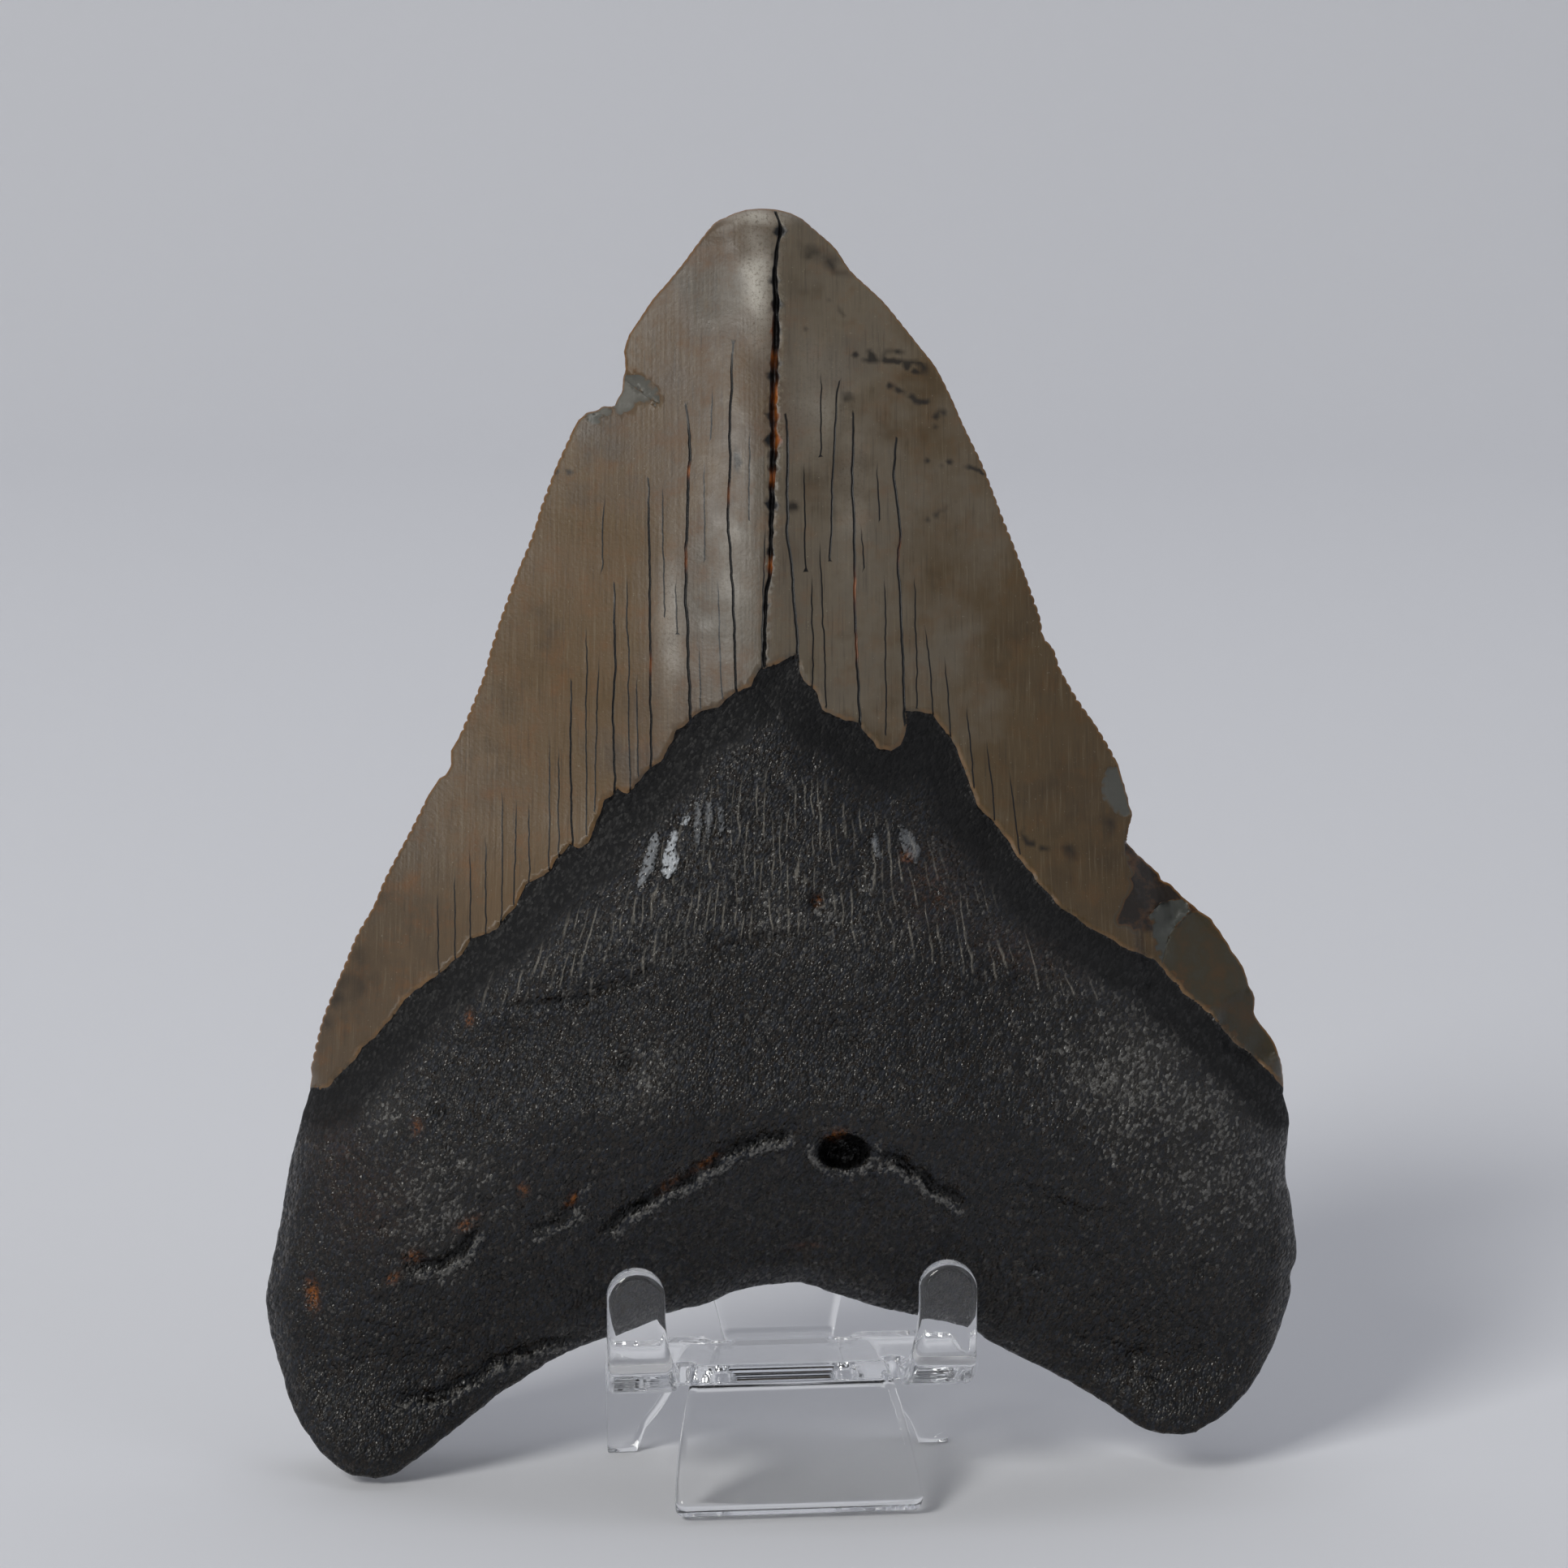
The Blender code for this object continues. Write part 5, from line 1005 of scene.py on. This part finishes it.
def fossilRoot():
    # porous fossil dentine: near black with a fine crystalline glitter, paler on patches that on the front are
    # painted highlights, and on ridges
    look = rootLook
    material, tree = newMaterial("fossil_dentine_grainy")
    place, fan = [addNode(tree, "ShaderNodeAttribute", attribute_name=name).outputs["Vector"]
                  for name in ("flat", "fan")]
    mark = {name: addNode(tree, "ShaderNodeAttribute", attribute_name=name).outputs["Fac"] for name in (
        "wrinkled", "toMargin", "gloss", "pale", "crest", "ridge", "hollow", "scar", "rust")}
    turned = addNode(tree, "ShaderNodeMapping", {
        "Vector": place, "Rotation": (0, 0, math.radians(look["grainTilt"])),
        "Scale": (look["grainLong"], look["grainShort"], 1.0)}, vector_type="TEXTURE")
    drawn = addNode(tree, "ShaderNodeMapping", {"Vector": fan, "Scale": (1.0, 1 / look["streakLong"], 1.0)})
    noises = {}
    for name, at in (("speck", place), ("lumps", place), ("grain", turned), ("gaps", drawn)):
        size, detail, rough = look[name]
        noises[name] = addNode(tree, "ShaderNodeTexNoise", {
            "Vector": at, "Scale": 1 / size, "Detail": detail, "Roughness": rough})
    speck = noises["speck"]
    cells = addNode(tree, "ShaderNodeTexVoronoi", {"Vector": turned, "Scale": 1.0})
    lot = addNode(tree, "ShaderNodeSeparateColor", {"Color": cells.outputs["Color"]})
    # each mineral grain has its own colour, and the pale grains also paint glints; the pale patches, painted
    # highlights on the front, and the ridges have more of the pale ones
    palest = lot
    for name, more in look["morePale"].items():
        palest = addNode(tree, "ShaderNodeMath", {0: mark[name], 1: more, 2: palest}, operation="MULTIPLY_ADD")
    # painted highlights: thin pale streaks along the wrinkles; at scale 1 a wave is 0.314 long
    waves = addNode(tree, "ShaderNodeTexWave", {
        "Vector": drawn, "Scale": 0.314 / look["streakGap"], "Distortion": look["streakWander"], "Detail": 2.0,
        "Detail Scale": 1.6}).outputs["Fac"]
    masks = {name: addNode(tree, "ShaderNodeMapRange", {"Value": value, **dict(zip(thresholds, look[name]))})
             for name, value in (
                 ("streakAt", waves), ("gapAt", noises["gaps"]), ("bandFootAt", mark["toMargin"]),
                 ("bandTopAt", mark["toMargin"]), ("brownAt", lot), ("slateAt", lot), ("paleAt", palest),
                 ("paleSpeckAt", speck), ("crestHighlightAt", speck), ("hollowShadeAt", mark["hollow"]), ("rustAt", speck),
                 ("flakeAt", noises["grain"]), ("roughAt", lot))}
    # the band under the enamel is darker, flatter and duller than the rest
    crystals, streak, band = [
        addNode(tree, "ShaderNodeMath", {0: one, 1: other}, operation="MULTIPLY") for one, other in (
            (cells.outputs["Distance"], cells.outputs["Distance"]), (masks["streakAt"], masks["gapAt"]),
            (masks["bandFootAt"], masks["bandTopAt"]))]
    streak = addNode(tree, "ShaderNodeMath", {0: streak, 1: mark["wrinkled"]}, operation="MULTIPLY")
    colour = toLinear(look["black"])
    # thin coats one over the other: the name of a tint, where it lies, and how much of it shows there
    for tint, where, amount in (
            # worn on the pale patches is painted highlight
            ("brown", masks["brownAt"], 1.0), ("slate", masks["slateAt"], 1.0), ("worn", mark["pale"], speck),
            # crest paints highlights along the wrinkles
            ("pale", masks["paleAt"], masks["paleSpeckAt"]), ("crest", streak, masks["crestHighlightAt"]),
            # hollow is painted shade: near black in the creases, the foramen and the pits
            ("bourlette", band, look["bandColour"]), ("hollow", masks["hollowShadeAt"], 1.0),
            ("scar", mark["scar"], look["scarColour"]), ("rust", mark["rust"], masks["rustAt"]),
            # flake paints the shiny scales' glint as silvery white, over their own paler colour
            ("flake", mark["gloss"], masks["flakeAt"])):
        shown = addNode(tree, "ShaderNodeMath", {0: where, 1: amount}, operation="MULTIPLY")
        colour = addNode(tree, "ShaderNodeMixRGB", {
            "Fac": shown, "Color1": colour, "Color2": toLinear(look[tint])})

    rough, domes = masks["roughAt"], noises["grain"]
    for value, much in ((mark["gloss"], look["flakeGloss"]), (band, look["bandDuller"])):
        rough = addNode(tree, "ShaderNodeMath", {0: value, 1: much, 2: rough}, operation="MULTIPLY_ADD")
    for value, high in ((crystals, -look["crystalHeight"]), (noises["lumps"], look["lumpHeight"])):
        domes = addNode(tree, "ShaderNodeMath", {0: value, 1: high / look["grainHeight"], 2: domes},
                        operation="MULTIPLY_ADD")
    flatter = addNode(tree, "ShaderNodeMath", {0: band, 1: look["bandFlatter"], 2: 1.0},
                      operation="MULTIPLY_ADD")
    domes = addNode(tree, "ShaderNodeMath", {0: domes, 1: flatter}, operation="MULTIPLY")
    domes = addNode(tree, "ShaderNodeMath", {0: streak, 1: look["streakHeight"], 2: domes},
                    operation="MULTIPLY_ADD")
    bump = addNode(tree, "ShaderNodeBump", {"Height": domes, "Distance": look["grainHeight"] * mm})
    shader = addNode(tree, "ShaderNodeBsdfPrincipled", {
        "Base Color": colour, "Roughness": rough, "IOR": look["ior"], "Specular IOR Level": look["specular"],
        "Normal": bump})
    addNode(tree, "ShaderNodeOutputMaterial", {"Surface": shader})
    return material


# the stand is one acrylic sheet, cut flat and bent
stand = {
    "sheet": 2.2, "bendRadius": 2.7, "shelfTop": 10.9, "shelfDepth": 7.8, "turn": math.radians(5.5),
    "place": (0.45, 0.10), "legFootInner": 12.5,
    "halfWidthFront": 15.8, "halfWidthRear": 15.1, "hookInner": 10.85, "hookHeight": 20.3,
    "footSlope": math.radians(48.0), "footHalfWidth": 10.5,
    "footEdge": [(8.45, 0.0), (8.75, -1.6), (9.35, -4.2), (9.95, -7.4), (10.35, -10.4)],
    "frontSlot": [(9.0, 0.0), (9.2, -1.6), (9.8, -4.2), (10.35, -7.4), (10.65, -14.0)],
    "rearSlot": [(5.35, 0.0), (8.15, 10.0), (11.8, 23.0), (15.5, 36.0)],
    "hookFillet": [(9.45, -0.5), (9.75, -2.0), (10.2, -3.8), (10.62, -5.6)],
    "legInner": [(6.1, 0.6), (7.3, 2.2), (8.4, 4.0), (9.3, 5.8), (10.4, 7.6), (11.7, 9.2)],
    "restEdge": [(4.7, 0.9), (5.1, 3.2), (5.7, 5.6), (7.0, 10.0), (8.7, 16.0), (10.0, 23.0)],
    "restHalfWidth": 10.6, "restLength": 36.0, "restLean": math.radians(13.7), "restCorner": 4.0,
    "restBend": 1.75,                                    # the back rest turns up more tightly
    "footCorner": 0.9, "rearSlotEnd": 0.72, "rearSlotBack": 0.35,
    "hookRoot": -7.6, "shoulder": -1.0,
    "bendSteps": 14, "edgeRound": 0.70, "edgeSteps": 4,
}


def arc(centre, radius, start, end, steps):
    turn = np.radians(np.linspace(start, end, steps + 1))
    return [(centre[0] + radius * math.cos(a), centre[1] + radius * math.sin(a)) for a in turn]


def blankHalf():
    # right half of the flat blank, (x, u); u is 0 at the front bend line and shelfDepth at the rear one
    t = stand
    middle = t["shelfTop"] - t["sheet"] / 2
    quarter = t["bendRadius"] * square
    hook = quarter + t["hookHeight"] - middle - t["bendRadius"]
    slope = t["footSlope"]
    drop = middle - t["bendRadius"] * (1 - math.cos(slope)) - t["sheet"] / 2 * math.cos(slope)
    foot = t["bendRadius"] * slope + drop / math.sin(slope)
    leg = quarter + middle - t["bendRadius"]
    half = (t["halfWidthFront"] - t["hookInner"]) / 2
    rear = t["shelfDepth"]
    line = arc((t["footHalfWidth"] - t["footCorner"], t["footCorner"] - foot), t["footCorner"], -90, 0, 6)
    line += [tuple(p) for p in smoothLine(t["footEdge"][::-1], 0.8)]
    line += arc(t["frontSlot"][0], t["frontSlot"][0][0] - t["footEdge"][0][0], 150, 40, 8)
    line += [tuple(p) for p in smoothLine(t["hookFillet"] + [(t["hookInner"], t["hookRoot"])], 0.5)]
    line += arc((t["hookInner"] + half, half - hook), half, 180, 360, 28)
    line += [(t["halfWidthFront"], t["shoulder"]), (t["halfWidthRear"] + 0.2, rear)]
    line += [(t["halfWidthRear"], rear + leg), (t["legFootInner"], rear + leg)]
    line += [(x, rear + u) for x, u in smoothLine(t["legInner"][::-1], 0.8)]
    line += arc((t["rearSlot"][0][0], rear + t["rearSlotBack"]), t["rearSlotEnd"], -10, -170, 8)
    line += [(x, rear + u) for x, u in smoothLine(t["restEdge"], 1.2)]
    corner = (t["restHalfWidth"] - t["restCorner"], rear + t["restLength"] - t["restCorner"])
    return line + arc(corner, t["restCorner"], 0, 90, 14)


def bent(length, angle, up, radius):
    # where a tab's middle line gets to past its bend line: forward, and up or down
    turned = min(length / radius, angle)
    rest = max(0.0, length - radius * angle)
    forward = radius * math.sin(turned) + rest * math.cos(angle)
    rise = radius * (1 - math.cos(turned)) + rest * math.sin(angle)
    return forward, rise if up else -rise


def fold(x, u):
    # where a place of the flat blank's middle layer comes to lie once the sheet is bent
    level = stand["shelfTop"] - stand["sheet"] / 2
    depth, radius = stand["shelfDepth"], stand["bendRadius"]
    slot = stand["frontSlot"] if u < depth / 2 else stand["rearSlot"]
    run = abs(u if u < depth / 2 else u - depth)
    slotAt = np.interp(run, [abs(q[1]) for q in slot], [q[0] for q in slot])
    outer = abs(x) > slotAt
    if u < 0.0:
        out, rise = bent(-u, square, True, radius) if outer else bent(-u, stand["footSlope"], False, radius)
        return Vector((x, -out, level + rise))
    if u > depth and outer:
        out, rise = bent(u - depth, square, False, radius)
        return Vector((x, depth + out, level + rise))
    if u > restLine():
        out, rise = bent(u - restLine(), square - stand["restLean"], True, stand["restBend"])
        return Vector((x, restLine() + out, level + rise))
    return Vector((x, u, level))


def restLine():
    # the tighter bend starts further back, so that the rest stands in the same place
    spared = (stand["bendRadius"] - stand["restBend"]) * math.tan((square - stand["restLean"]) / 2)
    return stand["shelfDepth"] + spared


def setIn(loop, amount):
    # the closed outline moved inwards by amount
    ahead = np.roll(loop, -1, axis=0) - loop
    ahead /= np.hypot(ahead[:, 0], ahead[:, 1])[:, None]
    inward = np.stack([-ahead[:, 1], ahead[:, 0]], axis=1)
    before = np.roll(inward, 1, axis=0)
    share = 1.0 + np.sum(inward * before, axis=1)
    return loop + (inward + before) / np.maximum(share, 0.4)[:, None] * amount


def buildStand():
    half = blankHalf()
    outside = np.array(half + [(-x, u) for x, u in reversed(half)])
    bm = bmesh.new()
    loops = []
    for side in (1.0, -1.0):
        rows = []
        for k in range(stand["edgeSteps"] + 1):
            angle = square * k / stand["edgeSteps"]
            w = side * (stand["sheet"] / 2 - stand["edgeRound"] * (1 - math.cos(angle)))
            line = setIn(outside, stand["edgeRound"] * (1 - math.sin(angle)))
            rows.append([bm.verts.new((x, u, w)) for x, u in line])
        loops += rows if side > 0 else rows[::-1]
    bm.faces.new(loops[0])
    bm.faces.new(loops[-1][::-1])
    for upper, lower in zip(loops, loops[1:]):
        for k in range(len(upper)):
            after = (k + 1) % len(upper)
            bm.faces.new((upper[k], lower[k], lower[after], upper[after]))
    radius = stand["bendRadius"]
    bends = [(0.0, -radius, square), (0.0, -radius, stand["footSlope"]), (stand["shelfDepth"], radius, square),
             (restLine(), stand["restBend"], square - stand["restLean"])]
    cuts = sorted({round(line + reach * angle * k / stand["bendSteps"], 5)
                   for line, reach, angle in bends for k in range(stand["bendSteps"] + 1)})
    for u in cuts:
        geometry = bm.verts[:] + bm.edges[:] + bm.faces[:]
        bmesh.ops.bisect_plane(bm, geom=geometry, dist=1e-5, plane_co=(0, u, 0), plane_no=(0, 1, 0))
    turn = Matrix.Rotation(stand["turn"], 3, "Z")
    for v in bm.verts:
        x, u, w = v.co
        along = fold(x, u + 1e-4) - fold(x, u - 1e-4)
        upwards = Vector((0.0, -along.z, along.y)).normalized()
        v.co = (turn @ (fold(x, u) + upwards * w) + Vector((*stand["place"], 0.0))) * mm
    bmesh.ops.recalc_face_normals(bm, faces=bm.faces)
    return bm


standLook = {"tint": "#ffffff", "roughness": 0.012, "ior": 1.491, "inside": "#c3d3ea", "density": 5.0}


def clearAcrylic():
    # cast acrylic with polished edges: clear through the sheet, a breath of blue where the path inside is long
    material, tree = newMaterial("cast_acrylic_polished")
    shader = addNode(tree, "ShaderNodeBsdfPrincipled", {
        "Base Color": toLinear(standLook["tint"]), "Roughness": standLook["roughness"],
        "IOR": standLook["ior"], "Transmission Weight": 1.0})
    inside = addNode(tree, "ShaderNodeVolumeAbsorption", {
        "Color": toLinear(standLook["inside"]), "Density": standLook["density"]})
    addNode(tree, "ShaderNodeOutputMaterial", {"Surface": shader.outputs[0], "Volume": inside.outputs[0]})
    return material


def evaluatedBox(piece):
    bpy.context.view_layer.update()
    mesh = piece.evaluated_get(bpy.context.evaluated_depsgraph_get()).to_mesh()
    coords = np.array([v.co for v in mesh.vertices])
    return coords.min(0), coords.max(0)


standPiece = newPiece("stand_sheet", buildStand(), [clearAcrylic()])
for polygon in standPiece.data.polygons:
    polygon.use_smooth = True
standPiece.modifiers.new("even_reflections", "WEIGHTED_NORMAL")      # flat faces stay optically flat
low, high = evaluatedBox(standPiece)
cadLow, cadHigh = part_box("display_stand")
shift = Vector([(cadLow[k] + cadHigh[k] - low[k] - high[k]) / 2 for k in (0, 1)] + [0.0])
standPiece.data.transform(Matrix.Translation(shift))
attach(standPiece, "root")
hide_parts("display_stand")
print("stand built, shifted by", [round(v / mm, 3) for v in shift])

toothPlace = shift + Vector((0.0, 0.0, tooth["lift"] * mm))
toothPiece = newPiece("tooth_fossil", buildTooth(), [fossilEnamel(), fossilRoot()])
toothPiece.data.transform(Matrix.Translation(toothPlace))
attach(toothPiece, "root")
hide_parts("tooth")
print("tooth built")


studio = {
    "floor": "#dfe0e4", "floorReach": 14.0, "wallHalf": 2.2, "sweepStart": 0.85, "sweepRadius": 0.7,
    "sweepSteps": 25, "wallHeight": 1.6, "sensor": 36.0, "bounces": 24, "brightest": 40.0,
    "aimHeight": 59.8, "distance": 0.390, "pitch": math.radians(10.0), "frameWidth": 0.13524,
    "lights": [                                          # name, place, aim, size, watts, colour
        ("key_softbox", (-1.5, -1.8, 1.8), (0.0, 0.0, 0.05), (0.95, 0.95), 45.0, "#fffefa"),
        ("fill_softbox", (2.0, -1.5, 1.2), (0.0, 0.0, 0.05), (1.2, 1.2), 4.0, "#f2f6ff"),
        ("low_card", (-0.95, -2.0, 0.30), (0.0, 0.0, 0.05), (0.5, 0.35), 2.6, "#ffffff"),
        ("wall_softbox", (0.0, 0.3, 2.2), (0.0, 1.5, 0.3), (1.8, 0.4), 6.0, "#f4f6ff")],
    "world": "#cbcdd2", "roomFront": 0.12, "roomBack": 0.80, "roomTurn": (-0.8, 0.35),
}


def seamlessPaper():
    # uncoated studio paper: plain pale grey and fully matt
    material, tree = newMaterial("studio_paper_matt")
    shader = addNode(tree, "ShaderNodeBsdfDiffuse", {"Color": toLinear(studio["floor"])})
    addNode(tree, "ShaderNodeOutputMaterial", {"Surface": shader.outputs[0]})
    return material


def buildBackdrop():
    start, radius = studio["sweepStart"], studio["sweepRadius"]
    reach, wide = studio["floorReach"], studio["wallHalf"]
    profile = [(reach, -reach, 0.0), (reach, 0.0, 0.0), (wide, start, 0.0)]     # half width, y, z
    profile += [(wide, start + radius * math.sin(a), radius * (1 - math.cos(a)))
                for a in np.linspace(0.0, square, studio["sweepSteps"])[1:]]
    profile.append((wide, start + radius, studio["wallHeight"]))
    bm = bmesh.new()
    rows = [[bm.verts.new((side * half, y, z)) for half, y, z in profile] for side in (-1, 1)]
    for k in range(len(profile) - 1):
        face = bm.faces.new((rows[0][k], rows[1][k], rows[1][k + 1], rows[0][k + 1]))
        face.smooth = True
    return bm


backdrop = newPiece("paper_sweep", buildBackdrop(), [seamlessPaper()])

for name, place, aimedAt, size, watts, tint in studio["lights"]:
    light = bpy.data.lights.new(name, "AREA")
    light.shape = "RECTANGLE"
    light.size, light.size_y = size
    light.energy = watts
    light.color = toLinear(tint)[:3]
    lamp = bpy.data.objects.new(name, light)
    lamp.location = place
    lamp.rotation_euler = (Vector(aimedAt) - Vector(place)).to_track_quat("-Z", "Y").to_euler()
    bpy.context.scene.collection.objects.link(lamp)

# the room is dark behind the camera, so that black surfaces stay black between their glints
world = bpy.data.worlds.new("studio_room")
bpy.context.scene.world = world
world.use_nodes = True
background = world.node_tree.nodes["Background"]
background.inputs["Color"].default_value = toLinear(studio["world"])
around = addNode(world.node_tree, "ShaderNodeTexCoord").outputs["Generated"]
depthways = addNode(world.node_tree, "ShaderNodeSeparateXYZ", {"Vector": around}).outputs["Y"]
turnLow, turnHigh = studio["roomTurn"]
strength = addNode(world.node_tree, "ShaderNodeMapRange", {
    "Value": depthways, "From Min": turnLow, "From Max": turnHigh, "To Min": studio["roomFront"],
    "To Max": studio["roomBack"]}, interpolation_type="SMOOTHSTEP").outputs["Result"]
world.node_tree.links.new(strength, background.inputs["Strength"])
paths = bpy.context.scene.cycles                        # light runs far inside a clear sheet
paths.max_bounces = paths.transmission_bounces = paths.glossy_bounces = studio["bounces"]
paths.sample_clamp_indirect = studio["brightest"]
paths.use_light_tree = False                            # few lights and a plain room: quicker this way
world.cycles.sampling_method = "NONE"
bpy.context.scene.view_settings.view_transform = "Standard"

aim = lean @ Vector((0.0, 0.0, studio["aimHeight"] * mm)) + toothPlace
lookAlong = Vector((0.0, math.cos(studio["pitch"]), -math.sin(studio["pitch"])))
cameraData = bpy.data.cameras.new("camera")
cameraData.sensor_width = studio["sensor"]
cameraData.lens = studio["sensor"] * studio["distance"] / studio["frameWidth"]
camera = bpy.data.objects.new("camera", cameraData)
camera.location = aim - lookAlong * studio["distance"]
camera.rotation_euler = (square - studio["pitch"], 0.0, 0.0)
bpy.context.scene.collection.objects.link(camera)
bpy.context.scene.camera = camera
print("studio ready")
